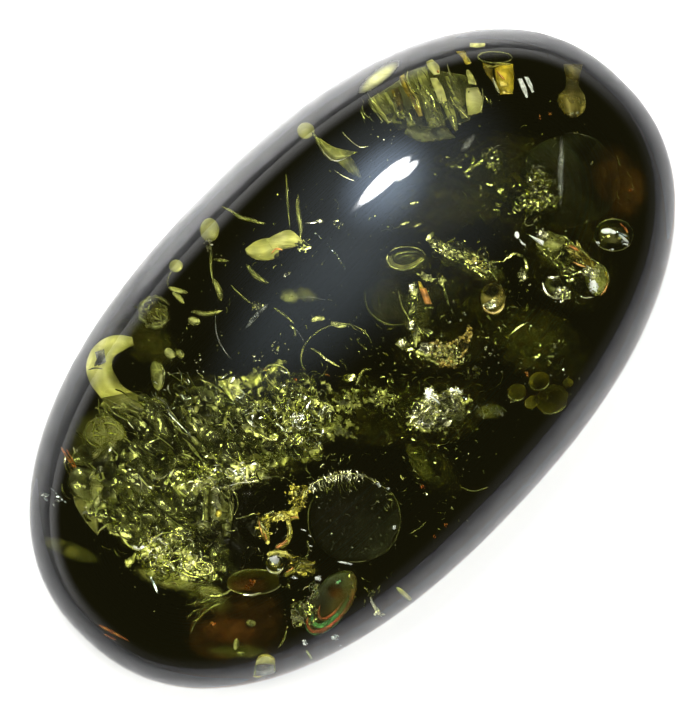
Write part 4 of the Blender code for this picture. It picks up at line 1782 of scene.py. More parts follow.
def top_fan(stuff):
    """The pleated fan of streaks and the golden pieces near the top side."""
    area = Region("top_fan", stuff, 14)
    area.strips("petal", {
        "far left": (
            ((369, 99), (376, 110), (386, 122)), ((384, 90), (392, 106), (402, 124)), 24, 0.42, 0.32,
        ),
        "left edge": (
            ((369, 99), (376, 110), (388, 124)), ((374, 97), (381, 109), (392, 122)), 20, 0.95, 0.6,
        ),
        "left gleam": (
            ((398, 112), (402, 118), (409, 127)), ((404, 110), (410, 116), (416, 125)), 20, 0.5, 0.4,
        ),
        "wide petal": (
            ((406, 72), (413, 92), (422, 110), (430, 128)), ((426, 66), (432, 86), (440, 106), (446, 126)),
            24, 0.60, 0.36,
        ),
        "fork": (((440, 101), (446, 114), (455, 132)), ((449, 100), (455, 112), (458, 130)), 16, 0.85, 0.5),
        "fork's right": (
            ((451, 98), (457, 108), (462, 119)), ((458, 96), (464, 106), (469, 117)), 20, 0.6, 0.45,
        ),
        "dark petal": (
            ((443, 72), (449, 88), (456, 106)), ((460, 74), (463, 88), (467, 104)), 26, 0.34, 0.34,
        ),
        "back 1": (((372, 98), (384, 114), (398, 130)), ((408, 74), (420, 98), (428, 128)), 32, 0.26, 0.12),
        "back 2": (((424, 68), (432, 96), (446, 128)), ((470, 76), (472, 96), (470, 120)), 34, 0.26, 0.14),
        "thin petal": (((414, 70), (420, 90), (430, 112)), ((418, 69), (425, 90), (434, 112)), 20, 0.8, 0.5),
        "thin petal 2": (((445, 76), (450, 90), (456, 100)), ((448, 76), (453, 89), (459, 99)), 20, 0.7, 0.4),
        "thin petal 3": (
            ((384, 93), (391, 106), (400, 120)), ((387, 92), (394, 104), (403, 118)), 18, 0.8, 0.5,
        ),
        "low haze": (
            ((408, 122), (424, 126), (446, 126)), ((404, 134), (424, 142), (456, 138)), 30, 0.25, 0.2,
        ),
    }, 0.08, 0.15)
    area.strips("cream", {
        "pale blade": (((426, 62), (428, 68), (434, 75)), ((432, 59), (439, 66), (440, 74)), 12, 0.8, 0.75),
        "pale blade's foot": (
            ((430, 78), (434, 90), (440, 103)), ((437, 78), (443, 88), (447, 101)), 14, 0.66, 0.6,
        ),
        "right blade": (((466, 70), (467, 77), (469, 84)), ((469, 70), (474, 77), (477, 85)), 12, 0.7, 0.6),
        "right petal": (
            ((466, 88), (466, 100), (468, 116)), ((478, 87), (482, 98), (482, 112)), 15, 0.5, 0.56,
        ),
        "rim piece": (((470, 43), (478, 43), (485, 43)), ((470, 47), (478, 47.5), (485, 46)), 10, 0.9, 0.8),
    }, 0.1, 0.15)
    area.patches("cream", {"rim smear": ((379, 77), (26, 7), 38, 10)}, 1.2)
    area.strips("gold_petal", {
        "brown petal": (
            ((391, 90), (395, 100), (399, 112)), ((398, 87), (402, 98), (404, 112)), 20, 0.45, 0.35,
        ),
        "golden petal": (
            ((399, 77), (404, 90), (412, 103), (419, 117)), ((404, 74), (411, 88), (418, 99), (423, 116)), 13,
            0.9, 0.6,
        ),
        "golden streak": (((455, 51), (461, 57), (466, 65)), ((463, 51), (468, 56), (471, 64)), 11, 0.6, 0.5),
        "box's left": (((482, 62), (485, 72), (492, 82)), ((493, 66), (493, 74), (496, 86)), 16, 0.45, 0.3),
        "box's front": (((494, 66), (496, 80), (500, 95)), ((513, 64), (514, 78), (513, 94)), 13, 1.1, 0.5),
    }, 0.1, 0.15)
    area.threads("gold", 8, {
        "box's bright lip": (1.4, (483, 65), (492, 67), (500, 64.5), (512, 64)),
        "golden petal's bright edge": (0.9, (403, 76), (411, 90), (417, 99), (420, 108)),
        "golden streak's edge": (0.8, (463, 50), (467, 56), (471, 63)),
    })
    area.threads("amber_chip", 8, {
        "box's inner edge": (0.9, (496, 70), (501, 76), (505, 80)),
        "blade's orange corner": (1.1, (437, 70), (439, 73)),
    })
    area.threads("pale", 8, {"box's streak": (1.5, (492.5, 77.5), (495.5, 85), (499.5, 93))})
    area.arcs("leaf", 8, {"mouth's rim": (0.7, (495, 57.3), (17, 5.6), -2, 0, 355)})
    area.leaves("murk", 10, {"box's mouth": ((495, 57), 14, 4.2, -2)})
    area.threads("crackle", 10, {
        "golden petal's edge": (0.9, (402, 75), (408, 86), (415, 98), (419, 108)),
        "left edge": (0.8, (368, 99), (374, 109), (383, 122)),
        "thin edge 1": (0.6, (389, 96), (395, 106), (399, 116)),
        "thin edge 2": (0.5, (451, 102), (462, 112), (470, 120)),
        "thin edge 3": (0.5, (446, 104), (452, 116), (455, 130)),
        "blade's fork": (0.7, (438, 100), (444, 103), (450, 99)),
        "right petal's edge": (0.5, (482, 88), (483, 99), (481, 112)),
    })
    area.blades("crackle", {
        "fan": ((424, 98), (46, 24), 20, 40, (5, 16), (8, 18), -66),
        "fan's left": ((376, 108), (20, 13), 20, 16, (3, 10), (8, 16), -56),
        "under the box": ((489, 102), (4, 5), 0, 8, (2, 5), (8, 14), -60),
    }, (0.03, 0.08), 0.2, 0.1)
    area.strips("glint", {
        "streak 1": (((518, 79), (521, 88), (526, 98)), ((521.5, 78), (526, 87), (528, 97)), 9, 0.75, 0.7),
        "streak 2": (((524, 77), (528, 85), (532, 93)), ((528, 76.5), (532, 84), (534, 92)), 9, 0.75, 0.6),
    }, 0.1, 0.2)
    area.strips("gold_film", {
        "drop": (
            ((563, 64), (566, 78), (565, 88), (559, 95), (558, 103), (563, 112), (570, 118)),
            ((583, 64), (580, 76), (579, 86), (584, 94), (586, 104), (583, 113), (575, 118)), 16, 0.45, 1.0,
        ),
    }, 0.08, 0.3)
    area.bits("pale", (7, 10), (1.2, 2.4), {
        "bulb's highlight": ((571.4, 113.4), (1.2, 1.6), 0, 3),
        "bulb's highlight 2": ((577.7, 112.7), (1.2, 2.0), 0, 3),
    })
    area.bits("ember", (10, 18), (0.9, 2.0), {
        "dot 1": ((541, 117), (2, 2), 0, 3),
        "dot 2": ((550, 113), (2, 1.5), 0, 3),
    })
    area.bits("pale", (6, 14), (0.6, 1.6), {"fan's specks": ((420, 110), (66, 32), 20, 40)})
    area.make()


def upper_right(stuff):
    """The wide faint disc, the white filigree and the brown haze at the upper right."""
    area = Region("upper_right", stuff, 15)
    area.discs("veil", {"wide disc": ((570, 180), (50, 46), 0, 46, (0.15, 0.1))}, 0.12, 0.012)
    area.arcs("grey", 36, {
        "disc's rim": (0.3, (570, 180), (50, 47), 0, 62, 96),
    })
    area.beads("crackle", (12, 18), (0.6, 1.4), {
        "dotted edge": (12, (526, 160), (536, 148), (555, 138)),
        "dotted edge 2": (9, (573, 132), (581, 134), (588, 138)),
    })
    area.threads("grey", 16, {
        "upright line": (0.7, (560, 138), (562, 170), (561, 205)),
    })
    area.patches("grey", {
        "upright line": ((561, 171), (36, 3.2), 89, 15),
        "smear": ((468, 143), (11, 3.6), 52, 14),
    }, 0.9)
    area.curls("pale", {
        "filigree 1": ((492, 158), (12, 11), 0, 24, (2, 7), (6, 14)),
        "filigree 2": ((541, 180), (12, 11), 0, 22, (2, 7), (6, 14)),
        "filigree 3": ((536, 199), (24, 10), 0, 26, (2, 8), (6, 16)),
        "curl": ((535, 217), (8, 8), 0, 8, (3, 8), (6, 12)),
    }, (0.25, 0.6), (30, 110))
    area.blades("crackle", {
        "filigree 1": ((492, 160), (12, 13), 0, 26, (1.5, 5), (8, 18), None),
        "filigree 2": ((540, 180), (16, 12), 0, 36, (2, 6), (8, 18), None),
        "filigree 3": ((536, 200), (24, 12), 0, 50, (2, 7), (8, 22), 10),
        "between": ((500, 195), (30, 22), -20, 30, (1.5, 5), (14, 30), -20),
        "left of them": ((462, 165), (22, 12), -10, 18, (1.5, 5), (10, 22), 20),
    })
    area.bits("pale", (6, 12), (0.7, 2.0), {
        "filigree 1": ((492, 158), (9, 10), 0, 20),
        "filigree 2": ((540, 180), (12, 9), 0, 16),
        "filigree 3": ((540, 200), (16, 8), 0, 20),
        "disc's glint": ((591, 163), (2, 1.5), 0, 3),
    })
    area.threads("crackle", 10, {
        "dash": (2.0, (464, 173), (473, 167), (483, 161)),
        "dash 2": (1.2, (409, 204), (419, 202)),
        "dash 3": (1.2, (400, 225), (410, 222)),
        "dash 4": (1.0, (414, 227), (422, 223)),
        "arc of dashes": (1.1, (510, 335), (519, 327), (529, 322)),
    })
    area.patches("rust", {"brown haze": ((618, 182), (30, 44), 20, 34)})
    area.patches("smoke", {
        "ground": ((530, 195), (90, 60), -30, 60),
        "ground 2": ((450, 190), (80, 50), 30, 62),
        "filigree's ground": ((540, 195), (30, 24), 0, 30),
    })
    area.blades(
        "film", {"olive haze": ((616, 182), (20, 34), 0, 12, (3, 9), (14, 30), -60)}, (0.03, 0.08), 0.3, 0.3,
    )
    area.bits("ember", (10, 16), (0.9, 2.2), {"orange dot": ((631, 190), (2, 2), 0, 3)})
    area.make()


def centre_right(stuff):
    """The ring, the crust of golden grains, the foil and the branching strand right of the middle."""
    area = Region("centre_right", stuff, 16)
    area.strips("haze_film", {
        "ring's foot": (
            ((388, 256), (388, 264), (396, 270), (412, 268), (423, 260)),
            ((392, 256), (394, 262), (402, 265), (412, 263), (421, 257)), 13, 1.1, 0.8,
        ),
    }, 0.15, 0.3)
    area.threads("crackle", 10, {
        "ring's top line": (0.8, (390, 252), (397, 248), (410, 247), (421, 250), (425, 255)),
        "ring's inner line": (0.9, (394, 259), (398, 254), (408, 252), (418, 252)),
        "ring's inner line 2": (0.5, (397, 260), (404, 256), (414, 255)),
        "ring's left line": (1.0, (388, 254), (387, 260), (391, 267)),
        "ring's lower line": (1.1, (390, 266), (402, 270), (414, 267), (424, 259)),
    })
    area.discs("veil", {
        "dim disc": ((396, 296), (31, 29), 0, 34, (0.1, 0.15)),
        "ring's inside": ((406, 257), (17, 8), 8, 22, (0.0, 0.2)),
    }, 0.2, 0.01)
    area.patches("smoke", {
        "dim disc's haze": ((392, 298), (32, 28), 0, 34),
        "ground": ((440, 300), (80, 60), -20, 60),
        "crust's ground": ((440, 350), (50, 28), 0, 40),
    })
    area.patches("olive", {
        "ring's haze": ((408, 262), (24, 12), 0, 26),
        "strand's haze": ((470, 262), (44, 14), -25, 26),
        "upright's haze": ((416, 315), (16, 34), 0, 26),
    }, 2.0)
    area.arcs("film", 28, {"dim disc's rim": (0.6, (396, 296), (31, 29), 0, 170, 300)})
    area.plates("gold_petal", {
        "orange piece's top": ((418, 281), (421, 282), (424, 289), (419, 288), 11, 1.0, 0.9),
    }, 0.1, 0.2)
    area.plates("amber_chip", {
        "orange piece": ((419, 288), (426, 288), (432, 304), (425, 304), 11, 1.0, 0.8),
    }, 0.1, 0.3)
    area.sheets("foil", {
        "upright's top": ((413.5, 291), (4.5, 8), 0, 10, 0.4),
        "upright's middle": ((413, 311), (3.0, 8), -10, 12, 0.4),
        "upright's foot": ((415, 337), (4.5, 9), -8, 11, 0.35),
        "crust's start": ((403, 344), (6.5, 5.5), -20, 11, 0.5),
        "top crinkle": ((426, 277), (9, 3.6), -20, 12, 0.6),
        "top crinkle 2": ((442, 281), (3.4, 5), 0, 12, 0.6),
        "strand": ((448, 250), (20, 5), -22, 12, 0.4),
        "strand's end": ((478, 264), (16, 6), -35, 13, 0.4),
        "branch's end": ((523, 275), (5, 6), 0, 10, 0.4),
        "crust's base": ((442, 357), (22, 7), -5, 13, 0.4),
    }, (9, 5), 0.25, 0.15, 1.1)
    area.sheets("pale", {
        "upright's gleam": ((412, 288), (2.6, 4), 0, 8, 0.3),
        "white spot": ((410.5, 325), (3.0, 4), 0, 8, 0.3),
        "crust's peak": ((425, 348), (6, 5), 0, 8, 0.4),
        "crust's start": ((402, 343), (3.5, 3), -20, 8, 0.4),
        "branch's gleam": ((524, 276), (2.2, 3.4), 0, 7, 0.3),
    }, (9, 5), 0.25, 0.15, 1.0)
    area.curls("crackle", {
        "upright": ((414, 312), (6, 32), 0, 26, (3, 9), (8, 14)),
        "strand": ((462, 256), (36, 9), -24, 40, (3, 9), (8, 14)),
        "crust": ((440, 350), (32, 12), 0, 30, (2, 6), (7, 12)),
    }, (0.25, 0.6))
    area.blades("crackle", {
        "strand": ((462, 256), (36, 6), -24, 50, (2, 8), (8, 14), -28),
        "upright": ((413, 312), (4, 32), 0, 30, (2, 6), (8, 14), 80),
    }, (0.1, 0.3), 0.3, 0.4)
    area.blades(
        "gold", {"strand's red part": ((478, 264), (12, 5), -35, 16, (2, 5), (8, 12), -35)}, (0.15, 0.4),
    )
    area.threads("crackle", 13, {
        "crust's left strand": (2.2, (401, 346), (408, 349), (418, 350)),
        "green curve": (1.3, (418, 274), (425, 279), (433, 281)),
        "upright's edge": (1.0, (409, 303), (412, 311), (416, 318)),
        "rim under the orange": (0.8, (420, 306), (426, 308), (435, 307)),
    }, wobble=0.4)
    area.threads("leaf", 15, {
        "green curve 2": (1.3, (442, 278), (445, 292), (449, 306)),
        "blob's arc": (1.5, (356, 385), (363, 371), (372, 369)),
        "hanging line": (0.7, (398, 290), (402, 306), (410, 320)),
    })
    area.bits("silver", (7, 12), (0.8, 1.8), {
        "glint 1": ((453, 302), (1.2, 2), 0, 3),
        "glint 2": ((452, 311), (1.0, 2.5), 0, 4),
        "glint 3": ((464, 314), (2.0, 1.5), 0, 4),
        "glint 4": ((460, 320), (1.5, 1.0), 0, 3),
        "glint 5": ((448, 321), (2.5, 2.0), 0, 4),
        "hole's glint": ((441.5, 334), (1.8, 2.6), 0, 5),
        "far glint": ((474.5, 367.5), (2.0, 1.0), 0, 3),
    })
    area.leaves("crackle", 13, {
        "yellow-green blob": ((350, 378), 8, 4.5, 12),
        "strand's start": ((430, 237), 6, 2.6, 50),
    }, flat=0.5)
    area.threads("crackle", 12, {
        "strand": (1.2, (427, 241), (442, 247), (459, 253), (472, 257), (481, 262), (490, 271), (498, 281)),
        "strand's lower edge": (1.0, (430, 247), (444, 255), (460, 262), (474, 270), (486, 278)),
        "side branch 1": (1.2, (445, 250), (449, 242), (456, 238)),
        "side branch 2": (1.3, (462, 254), (466, 264), (474, 270)),
        "side branch 3": (1.2, (484, 265), (493, 262), (503, 262)),
        "side branch 4": (1.0, (474, 258), (480, 250), (487, 247)),
        "branch arc": (1.9, (503, 262), (514, 254), (524, 258), (527, 268), (523, 277)),
    }, wobble=0.5)
    area.bits("crust", (10, 20), (1.2, 3.2), {
        "crust's left": ((436, 348), (7, 7), -20, 40),
        "crust's middle": ((448, 348), (8, 6), 0, 36),
        "crust's foot": ((446, 359), (14, 9), -10, 70),
        "crust's right": ((460, 343), (9, 6), 30, 36),
        "crust's end": ((469, 332), (3, 7), 0, 18),
    })
    area.bits("cream", (6, 10), (1.0, 2.6), {
        "crust's bright grains": ((443, 351), (20, 8), -5, 40),
        "crust's bright foot": ((450, 360), (14, 5), 0, 16),
    })
    area.bits("crackle", (12, 20), (1.0, 3.0), {
        "crust's lower left": ((427, 357), (10, 5), -10, 40),
        "crust's lower right": ((462, 357), (9, 7), 0, 44),
    })
    area.beads("crust", (8, 14), (1.2, 2.8), {
        "crust's arc": (26, (431, 352), (446, 362), (459, 358), (467, 348), (468, 334)),
        "crust's inner arc": (18, (431, 344), (440, 347), (450, 345), (460, 339), (467, 333)),
    })
    area.bits("pale", (5, 10), (0.7, 2.2), {
        "crust's glints": ((445, 352), (20, 8), -10, 34),
        "white glint 1": ((486, 348), (2.5, 2), 0, 6),
        "white glint 2": ((491, 354), (2, 2), 0, 5),
        "white glint 3": ((483, 356.5), (2.5, 0.8), -20, 4),
        "strand's glints": ((470, 258), (38, 10), -20, 22),
    })
    area.leaves("murk", 4.5, {"crust's hole": ((464, 347), 5.5, 3.4, 0)})
    area.threads("crackle", 12, {
        "hatch 1": (0.5, (419, 328), (425, 333), (430, 337)),
        "hatch 2": (0.5, (422, 328), (428, 332), (432, 334)),
        "hatch 3": (0.5, (427, 329), (431, 331), (433, 333)),
        "hatch's edge": (0.6, (414, 320), (418, 327), (425, 338)),
    })
    area.bits("crackle", (12, 20), (1.0, 2.6), {"olive cluster": ((472, 373), (10, 7), 10, 50)})
    area.balls("gold_film", 18, {"bubble": ((493, 298), (12.5, 15), 0)}, squash=0.5)
    # painted shade: a near-black cloud over the bubble's top
    area.patches("murk", {"bubble's dark top": ((492, 291), (11, 8), 0, 11)}, 1.2)
    area.arcs("crust", 9, {"bubble's lower rim": (1.6, (493, 299), (12, 14), 0, 215, 340)})
    # painted highlights on the bubble's lower side
    area.sheets(
        "pale", {"bubble's highlight": ((490.5, 305), (5.5, 4.5), 10, 6, 0.4)}, (8, 5), 0.25, 0.1, 1.1,
    )
    area.bits("silver", (4.5, 5.5), (1.0, 2.4), {"bubble's spot": ((492, 306), (3, 3), 0, 7)})
    area.make()


def foil_cluster(stuff):
    """The bright crumpled foil, and the thin scatter round it."""
    # The light field paints light and shade into the foil's colour: bright over the peaks, dark in the gaps.
    area = Region("foil", stuff, 17, pools(1.4, {
        "peak": ((430, 394), (7, 8), 20, 1.4),
        "right peak": ((455, 391), (8, 4), -10, 0.8),
        "foot": ((424, 425), (12, 5), -10, 0.5),
        "gap": ((445, 401), (7, 6), 30, -1.1),
        "gap 2": ((416, 404), (7, 8), 0, -1.0),
        "gap 3": ((442, 424), (10, 5), 0, -1.0),
        "right gap": ((466, 412), (9, 7), 0, -1.0),
    }))
    area.sheets("pale", {
        "peak": ((430, 393), (5, 6), 20, 8, 0.30),
        "peak's foot": ((428, 404), (11, 6), 30, 12, 0.40),
        "right peak": ((455, 391), (6, 3), -10, 9, 0.40),
        "foot": ((424, 423), (11, 5), -10, 13, 0.40),
    }, (10, 6), 0.4, 0.35, 1.2)
    area.sheets("foil", {
        "middle": ((441, 412), (12, 6), 20, 14, 0.40),
        "foil": ((428, 412), (18, 13), 40, 17, 0.45),
        "foil's right": ((457, 403), (12, 9), 30, 17, 0.45),
        "foil's foot": ((430, 426), (16, 6), -10, 18, 0.45),
    }, (14, 8, 5), 0.5, 0.5, 1.6)
    area.patches("smoke", {
        "foil's ground": ((430, 410), (70, 40), 10, 50),
        "ground to the left": ((370, 410), (60, 40), 0, 52),
    })
    area.patches("olive", {"foil's haze": ((436, 410), (36, 22), 10, 30)}, 2.2)
    area.blades(
        "pale", {"foil": ((438, 408), (28, 17), 10, 60, (1.5, 5.5), (5, 12), 30)}, (0.15, 0.45), 0.4, 0.8,
    )
    area.blades(
        "crackle", {"foil": ((438, 412), (34, 20), 10, 90, (2, 8), (8, 24), 20)}, (0.12, 0.4), 0.4, 0.9,
    )
    area.curls("pale", {"foil": ((438, 409), (24, 15), 15, 60, (2, 8), (5, 12))}, (0.3, 0.6))
    area.curls("crackle", {
        "hairs out of it": ((440, 410), (44, 30), 10, 50, (5, 14), (8, 20)),
        "to the left": ((380, 398), (36, 18), -5, 30, (4, 12), (12, 26)),
    }, (0.25, 0.5), (40, 120))
    area.shells("leaf", {"foil": ((438, 410), (28, 17), 10, 40, (2, 5), (7, 14))}, 20)
    area.threads("glint", 5, {
        "peak": (1.7, (426, 398), (429, 394), (431, 388)),
        "peak's wing": (0.8, (430, 396), (436, 400), (440, 404)),
        "right gleam": (0.9, (450, 391), (457, 390), (462, 393)),
    }, flat=0.4)
    area.bits(
        "frost", (4, 8), (0.8, 2.2),
        {"cyan glint": ((464, 399), (2.5, 2), 0, 4), "peak": ((430, 393), (4, 3), 0, 8)},
    )
    area.patches("olive", {"grey cloud": ((489, 411), (18, 9), 0, 26)}, 1.6)
    area.blades(
        "grey", {"grey cloud": ((489, 411), (16, 7), 0, 20, (1.5, 4), (18, 28), -30)}, (0.15, 0.4), 0.3, 0.7,
    )
    area.blades("crackle", {
        "towards the left": ((385, 395), (40, 24), -10, 60, (1, 3.5), (12, 34), -40),
        "below": ((425, 450), (50, 18), -10, 40, (1, 3.5), (16, 40), -40),
        "above": ((380, 345), (50, 24), -20, 40, (1, 3.5), (16, 40), -40),
    }, (0.12, 0.35))
    area.sheets("film", {
        "left tuft": ((350, 402), (14, 10), 20, 26, 0.4),
        "left tuft 2": ((382, 398), (12, 9), -20, 24, 0.4),
        "left tuft 3": ((340, 428), (16, 8), -20, 30, 0.4),
    }, (14, 8), 0.45, 0.4, 1.6, form=swells)
    area.blades("crackle", {
        "left tuft": ((350, 402), (14, 10), 20, 26, (1, 5), (10, 20), 60),
        "left tuft 2": ((382, 398), (12, 9), -20, 22, (1, 5), (10, 20), 60),
    }, (0.1, 0.3))
    area.curls(
        "film", {"around": ((400, 400), (95, 60), -10, 40, (3, 9), (14, 40))}, (0.25, 0.45), (30, 110), -40,
    )
    area.make()


def big_right(stuff):
    """The shiny cluster and the bubbles at the right side."""
    area = Region("big_right", stuff, 18)
    area.patches("smoke", {"ground": ((566, 266), (60, 44), -35, 46)})
    area.patches("olive", {"body's haze": ((560, 258), (30, 16), -35, 28)})
    area.strips("leaf", {
        "body's left": (
            ((536, 240), (541, 233), (549, 231), (557, 235), (566, 238)),
            ((538, 246), (544, 253), (550, 257), (555, 258), (560, 256)), 14, 0.9, 0.5,
        ),
        "pear": (
            ((586, 272), (585, 279), (588, 288), (594, 296)),
            ((597, 264), (606, 271), (609, 283), (602, 295)),
            13, 1.0, 0.8,
        ),
        "eye's left": (
            ((546, 278), (545, 285), (550, 292)), ((560, 278), (563, 284), (560, 291)), 18, 0.4, 0.3,
        ),
    }, 0.25, 0.3)
    area.strips("gold_petal", {
        "golden part": (
            ((566, 240), (576, 246), (586, 256), (596, 263)),
            ((570, 250), (574, 258), (580, 265), (588, 270)),
            15, 0.5, 0.45,
        ),
        "pear's brown side": (
            ((604, 271), (607, 280), (604, 290)), ((608, 273), (609.5, 282), (605, 292)), 11, 0.6, 0.5,
        ),
    }, 0.25, 0.3)
    area.strips("glint", {
        "flash": (((529, 235), (535, 237), (544, 241)), ((530, 236), (537, 242), (543, 246)), 7, 1.0, 0.9),
    }, 0.15, 0.3)
    area.patches("murk", {
        "eye": ((558, 284), (12, 6), -5, 13),
        "eye's right": ((579, 286), (8, 12), 20, 13),
        "gap": ((563, 256), (7, 9), 0, 13),
    }, 1.6)
    area.sheets("pale", {
        "pear's crumple": ((591, 273), (7, 5), -20, 9, 0.45),
        "lump": ((562, 294), (7.5, 6.5), 0, 10, 0.45),
        "top crumple": ((543, 234), (5, 3.5), -10, 9, 0.45),
    }, (9, 5), 0.3, 0.25, 1.1)
    area.blades("crackle", {
        "body": ((560, 254), (34, 14), -38, 60, (1.5, 7), (8, 20), -38),
        "under the gold": ((571, 272), (10, 4), 0, 18, (1.5, 5), (8, 14), 10),
        "lump": ((562, 295), (9, 7), 0, 20, (1.5, 4), (7, 12), None),
        "left of it": ((512, 300), (22, 20), 0, 20, (1, 3.5), (12, 30), None),
    }, (0.1, 0.3))
    area.blades(
        "gold", {"golden part": ((580, 256), (18, 9), -42, 44, (2, 8), (8, 14), -42)}, (0.06, 0.2), 0.3, 0.3,
    )
    area.threads("crackle", 7, {
        "upper outline": (0.8, (548, 231), (555, 235), (565, 237), (571, 243), (580, 248), (588, 257)),
        "outline's end": (0.8, (588, 257), (597, 262), (605, 269), (609, 277), (608, 286)),
        "lower left edge": (1.0, (537, 245), (543, 252), (552, 259)),
        "eye's upper edge": (0.7, (561, 274), (569, 276), (577, 273), (584, 272)),
    }, wobble=0.3)
    area.threads("pale", 6, {
        "eye's top line": (1.5, (547, 277), (553, 277.5), (560, 276)),
        "left rim": (1.4, (542.5, 281.6), (544, 288), (548, 294.5), (556, 299)),
        "low line": (0.6, (580, 296), (586, 298), (594, 297)),
    })
    area.leaves("crackle", 7, {"eye's leaf": ((570.5, 280), 4.6, 2.2, 12)}, flat=0.4)
    area.threads("amber_chip", 7, {
        "orange line": (1.6, (569.4, 246), (574, 248), (579, 251)),
        "brown fold": (0.9, (573, 262), (579, 265), (586, 267)),
        "pear's orange rim": (0.8, (607.5, 284), (605, 290), (600, 296)),
    })
    area.balls("bubble", 22, {"round bubble": ((614, 235), (20, 16), 0)}, squash=0.6)
    # painted highlights: near-white glint pieces on the pear and the round bubble
    area.sheets("glint", {
        "pear's highlight": ((593.4, 286), (4.4, 6.4), 10, 6, 0.15),
    }, (9, 5), 0.25, 0.0, 1.0)
    area.balls("glint", 7, {
        "star flash": ((517, 235), (2.4, 3.6), 10),
        "round bubble's highlight": ((607, 231), (6.0, 2.8), 0),
        "round bubble's highlight 2": ((613, 232), (3.0, 2.0), -20),
    }, squash=0.4)
    area.arcs("crackle", 9, {
        "round bubble's rim": (0.5, (614, 235), (20, 16), 0, 40, 150),
        "round bubble's rim 2": (0.5, (614, 235), (20, 16), 0, 180, 330),
    })
    area.threads("ember", 6, {"round bubble's red line": (1.1, (620, 223), (625, 228), (628, 233))})
    # painted highlights round the bubble's foot
    area.bits("glint", (4.5, 6.0), (0.9, 2.0), {
        "bubble's foot 1": ((597, 243.5), (2.5, 3), 0, 7),
        "bubble's foot 2": ((612, 249.5), (2.5, 1.5), 0, 5),
        "bubble's foot 3": ((625, 243), (4, 2.5), 0, 9),
        "left gleam": ((525, 245), (2.6, 1.4), -30, 4),
    })
    area.threads("glint", 5, {
        "star's tail": (1.0, (519, 239), (522, 243), (526, 246)),
        "bubble's dash": (1.4, (619, 234.4), (624, 238.5), (628.6, 242.7)),
    })
    area.threads("frost", 5, {"bubble's cyan line": (1.2, (616.6, 231.6), (622, 234), (628.6, 237))})
    area.bits("pale", (6, 16), (0.6, 1.8), {"specks": ((555, 265), (52, 36), -30, 50)})
    area.make()


